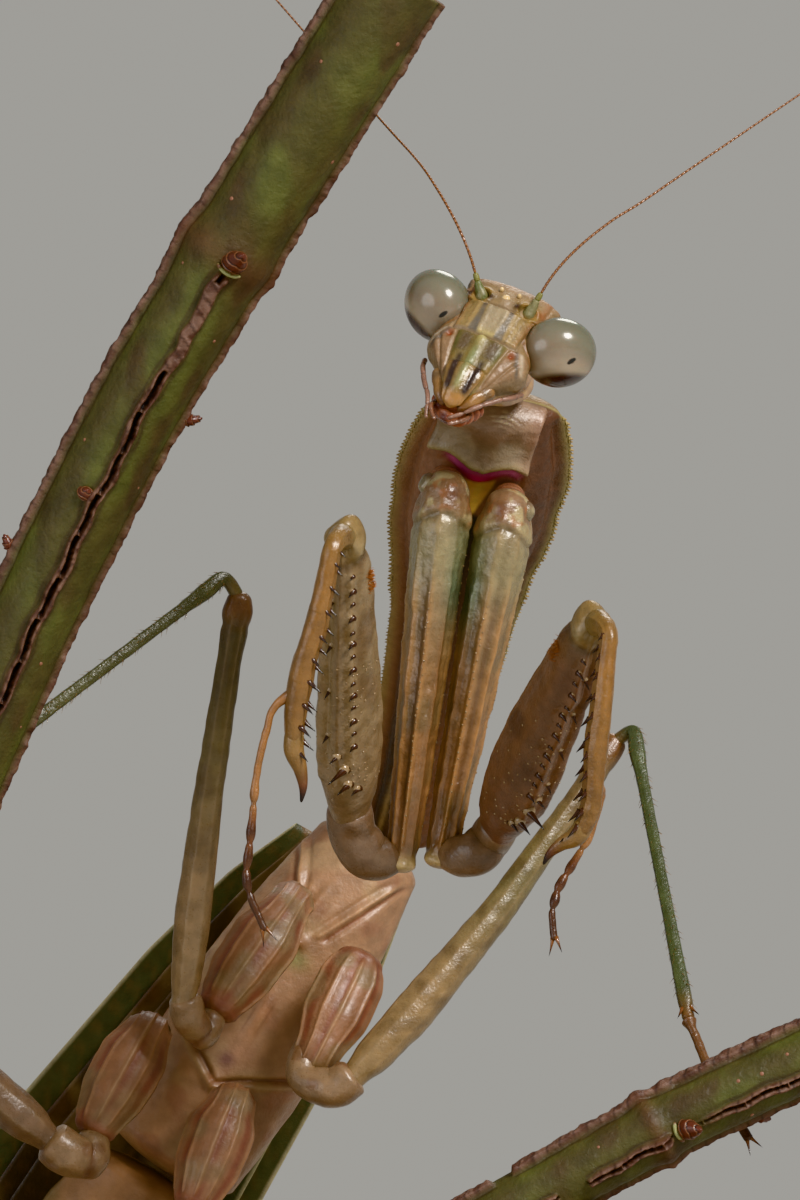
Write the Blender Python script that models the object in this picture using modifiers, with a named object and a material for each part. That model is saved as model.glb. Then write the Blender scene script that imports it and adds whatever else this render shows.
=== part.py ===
"""A life-size Chinese mantis, head up, gripping two cut lengths of winged twig on a display stand.

Units are metres, +Z up. The animal's underside faces -Y, so its own left is at +X. The origin is
the centre of the stand's underside. Every limb is a loft through oval sections along its centre line.
"""

import math

import bmesh
import bpy
from mathutils import Euler, Matrix, Vector

MM = 0.001
GAP = 0.3 * MM

# Stand and twigs
BASE_RADIUS = 40.0 * MM
BASE_HEIGHT = 6.0 * MM
ROD_RADIUS = 1.2 * MM
STEM_RADIUS = {"right": 1.8 * MM, "left": 1.45 * MM}
STEM_RIDGE = 0.36 * MM
STEM_RIDGE_FACING = {"right": (0.22, -0.97, 0.0), "left": (0.15, -0.92, -0.35)}
STEM_LINES = {
    "right": [
        (-22.9, 1.2, 38.5), (-19.4, 0.3, 50.1), (-14.7, -1.7, 64.5), (-11.9, -2.8, 71.7),
        (-8.6, -3.9, 78.9), (-4.75, -5.3, 86.4), (-0.6, -6.6, 93.3), (0.5, -7.0, 95.0),
        (7.6, -9.1, 106.2),
    ],
    "left": [
        (-3.2, -1.0, 41.6), (7.1, -1.0, 47.8), (13.4, -1.1, 51.4), (18.3, -1.1, 54.1),
        (20.0, -1.1, 55.0), (27.4, -1.2, 58.4),
    ],
}
ROD_UNDER = {"right": (0, 0.4), "left": (2, 0.3)}

# Head: its centre, and its turn about X (chin forward), Y (tilt) and Z (towards its own right)
HEAD_CENTRE = (11.6, -11.0, 90.1)
HEAD_TURN = (-27.0, 21.0, -14.0)
EYE_PLACE = (2.95, -0.05, -0.25)
EYE_RADII = (1.55, 1.6, 1.62)

# Middle line of the trunk
PROTHORAX_FRONT = (11.5, -6.4, 87.0)
PROTHORAX_END = (7.4, 15.6, 67.0)
TRUNK_FRONT = (6.1, 15.4, 66.9)
TRUNK_END = (-4.3, 15.5, 51.2)
ABDOMEN_TIP = (-26.4, 21.4, 13.0)

# Wings, in millimetres: how thick, how far apart, how much they curl down off the ridge line,
# how far that line bows sideways, and its height over the back at the root and at the tip
WING_THICKNESS = 0.5
WING_SPACING = 0.34
WING_CURL = 0.06
WING_BOW = 2.3
WING_HEIGHTS = (19.7, 24.6)

FINISHES = {
    "shell": ((0.52, 0.40, 0.20), 0.42),
    "eye": ((0.42, 0.43, 0.34), 0.12),
    "feeler": ((0.50, 0.24, 0.08), 0.5),
    "foreleg": ((0.42, 0.30, 0.13), 0.35),
    "leg": ((0.24, 0.22, 0.10), 0.4),
    "belly": ((0.50, 0.32, 0.20), 0.45),
    "wing": ((0.12, 0.15, 0.08), 0.4),
    "bark": ((0.10, 0.11, 0.03), 0.6),
    "wood": ((0.12, 0.06, 0.03), 0.35),
    "rod": ((0.45, 0.40, 0.30), 0.3),
}


def mm(point):
    """A point given in millimetres, in metres."""
    return Vector(point) * MM


def between(start, end, share):
    """The point that lies share of the way from start to end."""
    return Vector(start).lerp(Vector(end), share)


def new_collection(name):
    collection = bpy.data.collections.new(name)
    bpy.context.scene.collection.children.link(collection)
    return collection


def finish_named(name, finish):
    """A material of one node's own."""
    colour, roughness = FINISHES[finish]
    material = bpy.data.materials.new(name)
    material.use_nodes = True
    shader = material.node_tree.nodes["Principled BSDF"]
    shader.inputs["Base Color"].default_value = (*colour, 1.0)
    shader.inputs["Roughness"].default_value = roughness
    shader.inputs["Metallic"].default_value = 0.8 if finish == "rod" else 0.0
    return material


def put(name, bm, finish, parent=None, collection=None):
    """Turns a bmesh into a named, smooth-shaded object."""
    bmesh.ops.recalc_face_normals(bm, faces=bm.faces)
    mesh = bpy.data.meshes.new(name)
    bm.to_mesh(mesh)
    bm.free()
    mesh.shade_smooth()
    mesh.set_sharp_from_angle(angle=math.radians(40))
    obj = bpy.data.objects.new(name, mesh)
    obj.data.materials.append(finish_named(name, finish))
    obj.parent = parent
    (collection or BODY).objects.link(obj)
    return obj


def put_cutter(name, bm, parent=None):
    """An object that only cuts or joins its neighbours."""
    obj = put(name, bm, "shell", parent, CUTTERS)
    obj.hide_render = True
    obj.display_type = "WIRE"
    return obj


def boolean(obj, cutter, operation):
    modifier = obj.modifiers.new(cutter.name, "BOOLEAN")
    modifier.operation = operation
    modifier.object = cutter
    modifier.use_self = operation == "UNION"


def add_rings(bm, rings):
    """Skins a list of equal rings of points, and closes both ends."""
    verts = [[bm.verts.new(point) for point in ring] for ring in rings]
    count = len(verts[0])
    for low, high in zip(verts, verts[1:]):
        for i in range(count):
            j = (i + 1) % count
            bm.faces.new((low[i], low[j], high[j], high[i]))
    bm.faces.new(verts[0])
    bm.faces.new(list(reversed(verts[-1])))


def oval(centre, across, deep, half_width, half_depth, sides, power):
    """Points of a superellipse; a power of 2 gives an ellipse and more gives a squarer section."""
    points = []
    for i in range(sides):
        angle = math.tau * i / sides
        x = math.copysign(abs(math.cos(angle)) ** (2 / power), math.cos(angle))
        y = math.copysign(abs(math.sin(angle)) ** (2 / power), math.sin(angle))
        points.append(centre + across * (x * half_width) + deep * (y * half_depth))
    return points


def axes_along(centres, deep):
    """At each centre, the section's two axes, with the second as near to deep as it can be."""
    found = []
    for i, centre in enumerate(centres):
        before = centres[max(i - 1, 0)]
        after = centres[min(i + 1, len(centres) - 1)]
        tangent = (after - before).normalized()
        across = tangent.cross(deep).normalized()
        found.append((across, across.cross(tangent).normalized()))
    return found


def loft_mesh(stations, deep=(0, -1, 0), sides=10, power=2.0):
    """A closed body through stations of (centre, half width, half depth), all in millimetres."""
    bm = bmesh.new()
    centres = [mm(centre) for centre, _, _ in stations]
    axes = axes_along(centres, Vector(deep))
    rings = []
    for centre, (across, down), (_, width, depth) in zip(centres, axes, stations):
        rings.append(oval(centre, across, down, width * MM, depth * MM, sides, power))
    add_rings(bm, rings)
    return bm


def loft(name, stations, finish, **options):
    return put(name, loft_mesh(stations, **options), finish)


def run(start, end, sizes):
    """Stations on a straight line, from (share of the way, half width, half depth)."""
    return [(between(start, end, share), width, depth) for share, width, depth in sizes]


def bent(points, radii):
    """Stations with round sections at points."""
    return [(point, radius, radius) for point, radius in zip(points, radii)]


def cones_mesh(cones, sides=5):
    """Separate pointed cones, each (root, tip, radius) in millimetres."""
    bm = bmesh.new()
    for root, tip, radius in cones:
        axis = Vector(tip) - Vector(root)
        turn = Vector((0, 0, 1)).rotation_difference(axis.normalized()).to_matrix().to_4x4()
        place = Matrix.Translation((Vector(root) + axis * 0.5) * MM) @ turn
        bmesh.ops.create_cone(
            bm,
            cap_ends=True,
            segments=sides,
            radius1=radius * MM,
            radius2=radius * 0.12 * MM,
            depth=axis.length * MM,
            matrix=place,
        )
    return bm


def grow(obj, cones):
    """Joins pointed spines or claws to the piece that they grow from."""
    boolean(obj, put_cutter(obj.name + "_spines", cones_mesh(cones)), "UNION")


# Head ---------------------------------------------------------------------------------------


def head_frame():
    """An empty at the head's centre that carries everything on the head."""
    empty = bpy.data.objects.new("head_frame", None)
    empty.location = mm(HEAD_CENTRE)
    empty.rotation_euler = Euler([math.radians(turn) for turn in HEAD_TURN], "XYZ")
    BODY.objects.link(empty)
    return empty


def capsule_mesh(levels, sides, power):
    """A head piece from levels of (height, half width, front, back) in the head's own axes."""
    stations = []
    for height, width, front, back in levels:
        stations.append(((0, (front + back) / 2, height), width, (back - front) / 2))
    bm = bmesh.new()
    rings = []
    for centre, width, depth in stations:
        across, deep = Vector((1, 0, 0)), Vector((0, 1, 0))
        rings.append(oval(mm(centre), across, deep, width * MM, depth * MM, sides, power))
    add_rings(bm, rings)
    return bm


def eye_mesh(side, swell):
    """A compound eye: an egg whose narrow end points outwards and a little down."""
    bm = bmesh.new()
    bmesh.ops.create_uvsphere(bm, u_segments=14, v_segments=9, radius=1.0)
    for vert in bm.verts:
        x, y, z = vert.co
        narrow = 1.0 - 0.16 * max(x, 0.0) - 0.10 * max(-z, 0.0)
        shape = Vector((x * EYE_RADII[0], y * EYE_RADII[1] * narrow, z * EYE_RADII[2] * narrow))
        shape = (shape * MM) * (1 + swell * MM / shape.length / MM) if swell else shape * MM
        vert.co = shape + mm(EYE_PLACE)
        vert.co.x *= side
    return bm


def build_head(frame):
    levels = [
        (1.6, 1.6, -0.7, 0.7),
        (1.25, 2.3, -1.1, 1.25),
        (0.4, 2.65, -1.4, 1.6),
        (-0.8, 2.85, -1.85, 1.6),
        (-1.9, 2.8, -2.05, 1.4),
        (-2.7, 2.4, -2.1, 1.1),
        (-3.5, 1.8, -2.1, 0.8),
        (-4.0, 1.3, -2.1, 0.5),
    ]
    head = put("head", capsule_mesh(levels, 16, 2.3), "shell", frame)
    for side, name in SIDES.items():
        put("eye_" + name, eye_mesh(side, 0.0), "eye", frame)
        boolean(head, put_cutter("socket_" + name, eye_mesh(side, 0.32), frame), "DIFFERENCE")
    mouth = [
        (-4.3, 1.05, -2.1, 0.1),
        (-4.7, 0.75, -2.1, -0.3),
        (-5.0, 0.45, -2.05, -0.8),
        (-5.2, 0.25, -1.9, -1.1),
    ]
    put("mouthparts", capsule_mesh(mouth, 12, 2.2), "shell", frame)
    feeler = ((2.35, 0.1, -3.35), (2.0, -0.6, -4.1), (1.55, -1.2, -4.9), (0.9, -1.6, -5.7))
    for side, name in SIDES.items():
        points = [(side * x, y, z) for x, y, z in feeler]
        palp = loft_mesh(bent(points, (0.27, 0.27, 0.26, 0.25)), deep=(0, 0, 1), sides=7)
        put("palp_" + name, palp, "shell", frame)


def build_antennae():
    """Scape, pedicel and the long thread of each feeler."""
    threads = {
        "right": [
            (10.55, -12.6, 91.95), (10.5, -12.8, 92.8), (10.0, -12.3, 93.8), (9.1, -11.1, 95.6),
            (7.8, -7.9, 97.5), (6.2, -5.2, 99.4), (2.8, -3.7, 103.4), (-0.8, -2.2, 107.6),
        ],
        "left": [
            (12.75, -12.9, 90.85), (13.1, -13.1, 91.7), (13.7, -12.6, 92.6), (14.8, -11.9, 93.6),
            (17.6, -10.5, 95.4), (22.2, -8.0, 98.6), (27.1, -5.0, 102.0),
        ],
    }
    for name, points in threads.items():
        radii = [0.36, 0.3] + [0.25] * (len(points) - 2)
        loft("antenna_" + name, bent(points, radii), "feeler", deep=(0.3, -1, 0.2), sides=6)


# Trunk --------------------------------------------------------------------------------------


# Sections as (share of the length, half width, half depth)
NECK = ((0.0, 1.2, 1.0), (0.5, 1.5, 1.15), (1.0, 1.6, 1.2))
PROTHORAX = (
    (0.0, 2.6, 1.0), (0.05, 3.2, 1.5), (0.13, 3.75, 1.85), (0.23, 3.85, 2.0), (0.30, 3.6, 2.0),
    (0.37, 3.15, 1.85), (0.48, 2.75, 1.7), (0.66, 2.4, 1.6), (0.85, 2.3, 1.6), (1.0, 2.3, 1.7),
)
PTEROTHORAX = (
    (0.0, 2.4, 2.0), (0.12, 2.9, 2.6), (0.28, 3.4, 3.0), (0.45, 3.7, 3.15),
    (0.65, 3.75, 3.1), (0.85, 3.6, 2.8), (1.0, 3.4, 2.4),
)


def build_trunk():
    neck = run((11.42, -9.05, 89.1), (11.32, -6.75, 87.3), NECK)
    loft("neck", neck, "belly", deep=(0, -0.7, -0.7), sides=12)
    prothorax = run(PROTHORAX_FRONT, PROTHORAX_END, PROTHORAX)
    prothorax = loft("prothorax", prothorax, "shell", deep=(0, -0.7, -0.7), sides=14, power=1.7)
    pterothorax = run(TRUNK_FRONT, TRUNK_END, PTEROTHORAX)
    loft("pterothorax", pterothorax, "belly", sides=16, power=2.2)
    gap = GAP / MM
    hollow = [(centre, width + gap, depth + gap) for centre, width, depth in pterothorax]
    above = Vector(TRUNK_FRONT) + (Vector(TRUNK_FRONT) - Vector(TRUNK_END)).normalized() * gap
    hollow[0] = (above, *hollow[0][1:])
    boolean(prothorax, put_cutter("prothorax_end", loft_mesh(hollow, sides=16, power=2.2)), "DIFFERENCE")
    abdomen = [
        ((-4.6, 15.6, 50.7), 3.5, 2.2), ((-6.9, 15.9, 46.9), 4.2, 2.5), ((-11.2, 16.7, 39.6), 5.0, 2.8),
        ((-15.9, 17.9, 31.4), 5.3, 2.9), ((-20.2, 19.2, 23.8), 4.7, 2.6), ((-23.6, 20.4, 17.8), 3.2, 2.0),
        ((-25.6, 21.1, 14.4), 1.7, 1.3), (ABDOMEN_TIP, 0.6, 0.5),
    ]
    loft("abdomen", abdomen, "belly", sides=16, power=2.1)
    backwards = Vector((-0.5, 0.2, -0.84))
    sideways = Vector((0.86, 0.0, -0.51))
    for side, name in SIDES.items():
        root = Vector((-25.0, 21.1, 15.4)) + sideways * (side * 2.75)
        tip = root + backwards * 3.8 + sideways * (side * 0.3)
        cercus = bent([root, root.lerp(tip, 0.5), tip], (0.42, 0.45, 0.26))
        loft("cercus_" + name, cercus, "belly", sides=7)


def wing_mesh(stations, strips=6):
    """A thin shell over the back, from stations of (ridge point, reach right, reach left)."""
    bm = bmesh.new()
    centres = [mm(point) for point, _, _ in stations]
    rings = []
    for centre, (across, down), (_, right, left) in zip(
        centres, axes_along(centres, Vector((0, -1, 0))), stations
    ):
        inner, outer = [], []
        for i in range(strips + 1):
            share = 2 * i / strips - 1
            offset = share * (right if share < 0 else left)
            point = centre + across * (offset * MM) + down * (WING_CURL * offset * offset * MM)
            inner.append(point)
            outer.append(point - down * (WING_THICKNESS * MM))
        rings.append(inner + outer[::-1])
    add_rings(bm, rings)
    return bm


def build_wings():
    """Two leathery forewings over two folded hind wings, stacked on the back with thin gaps."""
    root = Vector((5.0, 0.0, 65.8))
    tip = Vector((-27.0, 0.0, 12.5))
    widths = (
        (0.0, 2.7), (0.06, 3.9), (0.14, 4.8), (0.3, 5.9),
        (0.5, 6.2), (0.7, 5.7), (0.88, 4.2), (1.0, 1.6),
    )
    layers = {
        "hindwing_right": (0.94, -0.3, 0.72),
        "hindwing_left": (0.96, 0.3, 0.78),
        "tegmen_left": (0.98, 0.5, 1.0),
        "tegmen_right": (1.0, -0.5, 1.0),
    }
    for layer, (name, (length, shift, spread)) in enumerate(layers.items()):
        stations = []
        for share, reach in widths:
            down_back = share * length
            point = root.lerp(tip, down_back)
            point.x -= WING_BOW * 4 * down_back * (1 - down_back)
            low, high = WING_HEIGHTS
            point.y = low + (high - low) * down_back**2 + layer * (WING_THICKNESS + WING_SPACING)
            stations.append((point, reach * spread - shift, reach * spread + shift))
        put(name, wing_mesh(stations), "wing")


# Legs ---------------------------------------------------------------------------------------


FORELEG_COXA = (
    (0.0, 0.75, 1.0), (0.05, 1.1, 1.35), (0.14, 1.15, 1.5), (0.35, 1.0, 1.35),
    (0.6, 0.85, 1.2), (0.85, 0.68, 1.05), (0.95, 0.6, 0.95), (1.0, 0.45, 0.7),
)
FORELEG_TROCHANTER = ((0.0, 0.6, 0.75), (0.25, 1.0, 1.15), (0.7, 0.95, 1.1), (1.0, 0.7, 0.75))
FORELEG_FEMUR = (
    (0.0, 0.75, 0.8), (0.07, 1.05, 1.3), (0.2, 1.25, 1.8), (0.4, 1.2, 1.8),
    (0.62, 1.05, 1.5), (0.82, 0.9, 1.15), (0.94, 0.95, 1.1), (1.0, 0.6, 0.7),
)
FORELEG_TIBIA = ((0.4, 0.45), (0.5, 0.62), (0.5, 0.66), (0.45, 0.6), (0.3, 0.4))
WALKING_COXA = ((0.0, 1.0, 0.8), (0.2, 1.4, 1.1), (0.65, 1.35, 1.1), (1.0, 0.95, 0.85))
WALKING_TROCHANTER = ((-0.1, 0.5, 0.5), (0.2, 0.85, 0.85), (0.7, 0.85, 0.85), (1.0, 0.65, 0.65))
WALKING_FEMUR_SHARES = (0.06, 0.2, 0.5, 0.85, 0.96)
WALKING_TIBIA = (
    (0.0, 0.3, 0.3), (0.06, 0.42, 0.42), (0.16, 0.3, 0.3),
    (0.6, 0.3, 0.3), (0.93, 0.37, 0.37), (1.0, 0.3, 0.3),
)
WALKING_TARSUS_RADII = (0.26, 0.25, 0.27, 0.25, 0.28)

FORELEGS = {
    "right": {
        "coxa": ((9.15, -7.2, 83.0), (7.15, -6.0, 66.3)),
        "trochanter": ((5.8, -6.3, 66.4), (4.85, -7.1, 67.9)),
        "femur": ((4.9, -7.6, 68.7), (4.8, -19.2, 81.6)),
        "inside": (-0.5, -0.62, -0.58),
        "rake": (0.8, 0.6, -0.2),
        "tibia": (
            (4.2, -20.5, 80.2), (3.6, -20.2, 77.3), (2.9, -19.8, 75.0), (2.55, -19.5, 73.2),
            (2.45, -19.3, 71.6),
        ),
        "claw": ((2.4, -19.3, 71.9), (2.9, -18.8, 69.3)),
        "tarsus": (
            (1.6, -19.4, 73.2), (1.2, -19.2, 71.8), (0.9, -19.0, 70.3), (0.7, -19.0, 68.0),
            (0.45, -19.0, 66.0), (0.8, -19.0, 64.9), (1.3, -19.0, 63.8),
        ),
    },
    "left": {
        "coxa": ((11.9, -7.2, 82.2), (8.85, -6.0, 66.5)),
        "trochanter": ((10.2, -6.4, 66.5), (11.25, -7.2, 67.5)),
        "femur": ((11.4, -7.9, 68.0), (15.6, -20.8, 77.7)),
        "inside": (0.5, -0.55, -0.65),
        "rake": (-0.8, 0.6, -0.2),
        "tibia": (
            (16.0, -22.0, 76.4), (15.75, -22.0, 74.0), (15.5, -21.7, 71.5), (15.3, -21.3, 69.2),
            (14.9, -21.0, 67.9),
        ),
        "claw": ((15.0, -21.0, 68.1), (13.2, -20.4, 66.7)),
        "tarsus": (
            (15.7, -19.8, 69.4), (15.3, -19.6, 68.0), (14.6, -19.6, 66.8), (13.9, -19.8, 65.7),
            (13.6, -20.1, 64.6), (13.7, -20.2, 63.5),
        ),
    },
}

WALKING_LEGS = {
    "midleg_right": {
        "coxa": ((1.6, 10.2, 63.3), (-1.3, 8.4, 59.2)),
        "trochanter": ((-1.9, 7.9, 57.9), (-2.7, 7.2, 59.0)),
        "femur": ((-2.8, 6.9, 59.8), (-0.15, 5.0, 78.4)),
        "tibia": ((-0.95, 4.7, 79.0), (-12.4, 0.9, 70.3)),
        "tarsus": (
            (-12.9, 0.6, 69.9), (-14.2, 0.1, 68.6), (-15.6, 0.0, 66.9), (-16.6, 0.1, 65.2),
            (-17.3, 0.3, 63.9),
        ),
        "grip": (-0.6, -1.0, -0.6),
        "bow": (-0.2, 0.0, 0.0),
        "femur_radii": (0.8, 0.95, 0.75, 0.62, 0.75),
    },
    "midleg_left": {
        "coxa": ((5.3, 10.2, 61.4), (3.3, 8.5, 57.3)),
        "trochanter": ((2.9, 7.9, 55.8), (4.4, 7.5, 55.5)),
        "femur": ((5.0, 7.5, 56.2), (17.2, 12.0, 71.7)),
        "tibia": ((17.9, 11.3, 71.9), (20.2, 3.2, 59.0)),
        "tarsus": (
            (20.4, 2.8, 58.5), (20.9, 2.0, 57.2), (21.5, 1.5, 55.9), (22.2, 1.4, 54.7),
            (22.9, 1.2, 53.6),
        ),
        "grip": (0.3, -1.0, -0.6),
        "bow": (0.45, 0.0, -0.35),
        "femur_radii": (0.95, 1.1, 0.85, 0.6, 0.68),
    },
    "hindleg_right": {
        "coxa": ((-4.6, 10.4, 57.9), (-7.0, 8.9, 53.6)),
        "trochanter": ((-7.1, 8.2, 52.2), (-8.3, 7.8, 52.6)),
        "femur": ((-9.0, 7.7, 53.2), (-26.9, 5.0, 66.8)),
        "tibia": ((-27.7, 4.8, 66.2), (-22.4, 4.0, 45.4)),
        "tarsus": (
            (-22.3, 3.9, 44.8), (-22.1, 3.7, 43.5), (-22.2, 3.6, 42.1), (-22.5, 3.7, 40.7),
            (-22.8, 3.8, 39.5),
        ),
        "grip": (-0.3, -1.0, -0.5),
        "bow": (0.2, 0.0, 0.3),
        "femur_radii": (1.1, 1.2, 0.9, 0.6, 0.68),
    },
    "hindleg_left": {
        "coxa": ((-0.7, 10.4, 54.6), (-2.4, 9.1, 50.2)),
        "trochanter": ((-2.3, 8.6, 48.8), (-1.3, 8.8, 47.8)),
        "femur": ((-0.6, 9.3, 47.4), (15.6, 19.6, 35.4)),
        "tibia": ((15.9, 18.7, 34.9), (11.6, 2.3, 48.2)),
        "tarsus": (
            (11.2, 1.6, 48.8), (10.0, 1.4, 48.8), (8.7, 1.4, 48.2), (7.5, 1.4, 47.5),
            (6.4, 1.4, 46.9),
        ),
        "grip": (-0.5, -1.0, -0.3),
        "bow": (0.0, 0.3, -0.3),
        "femur_radii": (1.1, 1.2, 0.9, 0.6, 0.68),
    },
}


def claws(points, grip):
    """Two curved-looking hooks at the end of a foot."""
    last, before = Vector(points[-1]), Vector(points[-2])
    forward = (last - before).normalized()
    inward = Vector(grip).normalized()
    spread = forward.cross(inward).normalized()
    hooks = []
    for side in (-1, 1):
        root = last - forward * 0.15 + spread * (side * 0.1)
        hooks.append((root, root + forward * 0.8 + inward * 0.3 + spread * (side * 0.45), 0.16))
    return hooks


def foot(name, points, grip, radii):
    tarsus = loft(name, bent(points, radii), "feeler", sides=7)
    grow(tarsus, claws(points, grip))


def femur_spines(leg):
    """An inner row of long and short spines by turns, an outer row, and the big ones near the base."""
    start, end = leg["femur"]
    along = (Vector(end) - Vector(start)).normalized()
    inside = Vector(leg["inside"])
    inside = (inside - along * inside.dot(along)).normalized()
    beside = along.cross(inside).normalized()
    spines = []
    for row, count, low, high in ((-1, 12, 0.36, 0.86), (1, 6, 0.3, 0.82)):
        for i in range(count):
            share = low + (high - low) * i / (count - 1)
            depth = 1.78 - 1.0 * max(share - 0.4, 0.0) * 1.6
            width = 0.62 - 0.25 * share
            long = 1.0 if row > 0 or i % 2 == 0 else 0.6
            root = between(start, end, share) + inside * (depth - 0.25) + beside * (row * width)
            tip = root + (inside * 1.1 + beside * (row * 0.25) - along * 0.35) * (0.45 + 0.5 * long)
            spines.append((root, tip, 0.14 + 0.05 * long))
    for share, row, size in ((0.2, -0.3, 1.5), (0.26, 0.2, 1.9), (0.32, -0.2, 1.3)):
        root = between(start, end, share) + inside * 1.45 + beside * (row * 0.8)
        spines.append((root, root + inside * size + along * 0.3, 0.24))
    return spines


def tibia_spines(leg):
    """Two raked rows that grow longer towards the end of the tibia, and the great end claw."""
    points = [Vector(point) for point in leg["tibia"]]
    towards = Vector(leg["rake"])
    along = (points[-1] - points[0]).normalized()
    towards = (towards - along * towards.dot(along)).normalized()
    beside = along.cross(towards).normalized()
    spines = []
    for row, count in ((-1, 7), (1, 6)):
        for i in range(count):
            share = 0.28 + 0.62 * i / (count - 1)
            place = share * (len(points) - 1)
            centre = points[int(place)].lerp(points[int(place) + 1], place % 1)
            root = centre + towards * 0.2 + beside * (row * 0.15)
            tip = root + (towards * 1.0 + along * 0.6 + beside * (row * 0.25)) * (0.8 + 0.5 * share)
            spines.append((root, tip, 0.17))
    return spines + [(*leg["claw"], 0.42)]


def build_forelegs():
    for name, leg in FORELEGS.items():
        coxa = run(*leg["coxa"], FORELEG_COXA)
        loft("forecoxa_" + name, coxa, "foreleg", sides=10, power=1.8)
        knob = run(*leg["trochanter"], FORELEG_TROCHANTER)
        loft("foretrochanter_" + name, knob, "foreleg", sides=10)
        stations = run(*leg["femur"], FORELEG_FEMUR)
        femur = loft("forefemur_" + name, stations, "foreleg", deep=leg["inside"], sides=10)
        grow(femur, femur_spines(leg))
        stations = [(point, *size) for point, size in zip(leg["tibia"], FORELEG_TIBIA)]
        tibia = loft("foretibia_" + name, stations, "foreleg", deep=(0.2, -1, 0), sides=8)
        grow(tibia, tibia_spines(leg))
        radii = [0.26] * (len(leg["tarsus"]) - 3) + [0.28] * 3
        foot("foretarsus_" + name, leg["tarsus"], (0, -1, -0.2), radii)


def build_walking_legs():
    for name, leg in WALKING_LEGS.items():
        loft(name + "_coxa", run(*leg["coxa"], WALKING_COXA), "belly", sides=9)
        loft(name + "_trochanter", run(*leg["trochanter"], WALKING_TROCHANTER), "leg", sides=8)
        start, end = leg["femur"]
        femur = [(start, 0.6, 0.6)]
        for share, radius in zip(WALKING_FEMUR_SHARES, leg["femur_radii"]):
            bow = Vector(leg["bow"]) * (4 * share * (1 - share))
            femur.append((between(start, end, share) + bow, radius, radius))
        femur.append((end, 0.45, 0.45))
        loft(name + "_femur", femur, "leg", sides=9)
        loft(name + "_tibia", run(*leg["tibia"], WALKING_TIBIA), "leg", sides=7)
        foot(name + "_tarsus", leg["tarsus"], leg["grip"], WALKING_TARSUS_RADII)


# Perch and stand ----------------------------------------------------------------------------


def stem_mesh(name, swell=0.0):
    """A twig with four corky ridges, a little thicker at the node near its upper end."""
    centres = [mm(point) for point in STEM_LINES[name]]
    centres[0] += (centres[0] - centres[1]).normalized() * swell
    axes = axes_along(centres, Vector(STEM_RIDGE_FACING[name]))
    node = len(centres) - 3
    bm = bmesh.new()
    rings = []
    for station, (centre, (across, down)) in enumerate(zip(centres, axes)):
        size = 1.12 if station == node else 1.0 + 0.02 * station
        ring = []
        for i in range(16):
            angle = math.tau * i / 16
            radius = STEM_RADIUS[name] * size + (STEM_RIDGE if i % 4 == 0 else 0.0) + swell
            ring.append(centre + across * (radius * math.cos(angle)) + down * (radius * math.sin(angle)))
        rings.append(ring)
    add_rings(bm, rings)
    return bm


def build_perch():
    for name in STEM_LINES:
        put("perch_stem_" + name, stem_mesh(name), "bark")


def build_stand():
    """A round wooden foot with a chamfered rim, and two rods that saddle the twigs from below."""
    rim = 1.2 * MM
    profile = [
        (0, BASE_HEIGHT),
        (BASE_RADIUS - rim, BASE_HEIGHT),
        (BASE_RADIUS, BASE_HEIGHT - rim),
        (BASE_RADIUS, 0),
        (0, 0),
    ]
    mesh = bpy.data.meshes.new("stand_base")
    mesh.from_pydata([(x, 0, z) for x, z in profile], [(i, i + 1) for i in range(len(profile) - 1)], [])
    base = bpy.data.objects.new("stand_base", mesh)
    base.data.materials.append(finish_named("stand_base", "wood"))
    turn = base.modifiers.new("turn", "SCREW")
    turn.steps = turn.render_steps = 56
    turn.use_merge_vertices = True
    turn.merge_threshold = 0.00005
    BODY.objects.link(base)
    for name, (first, share) in ROD_UNDER.items():
        held = between(STEM_LINES[name][first], STEM_LINES[name][first + 1], share) * MM
        foot_height = BASE_HEIGHT + GAP
        bm = bmesh.new()
        bmesh.ops.create_cone(
            bm,
            cap_ends=True,
            segments=14,
            radius1=ROD_RADIUS,
            radius2=ROD_RADIUS,
            depth=held.z - foot_height,
            matrix=Matrix.Translation((held.x, held.y, (held.z + foot_height) / 2)),
        )
        rod = put("stand_rod_" + name, bm, "rod")
        boolean(rod, put_cutter("saddle_" + name, stem_mesh(name, GAP)), "DIFFERENCE")


for old in list(bpy.data.objects):
    bpy.data.objects.remove(old)

SIDES = {1: "left", -1: "right"}
BODY = new_collection("chinese_mantis")
CUTTERS = new_collection("cutters")
CUTTERS.hide_render = True

HEAD_FRAME = head_frame()
build_head(HEAD_FRAME)
build_antennae()
build_trunk()
build_wings()
build_forelegs()
build_walking_legs()
build_perch()
build_stand()
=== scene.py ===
"""The looks of a life-size Chinese mantis that grips two winged twigs on a display stand.

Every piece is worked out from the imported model: a limb's skin follows its solid's own sections,
and the head is sculpted in axes taken from the eyes and the mouth. Lengths in the tables are
millimetres, and angles round a limb are 0 on the side that it faces. Run as a script.
"""

import math

import bpy
import numpy as np
from bpy.props import FloatProperty, IntProperty, PointerProperty
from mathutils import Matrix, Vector
from mathutils.bvhtree import BVHTree


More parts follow.
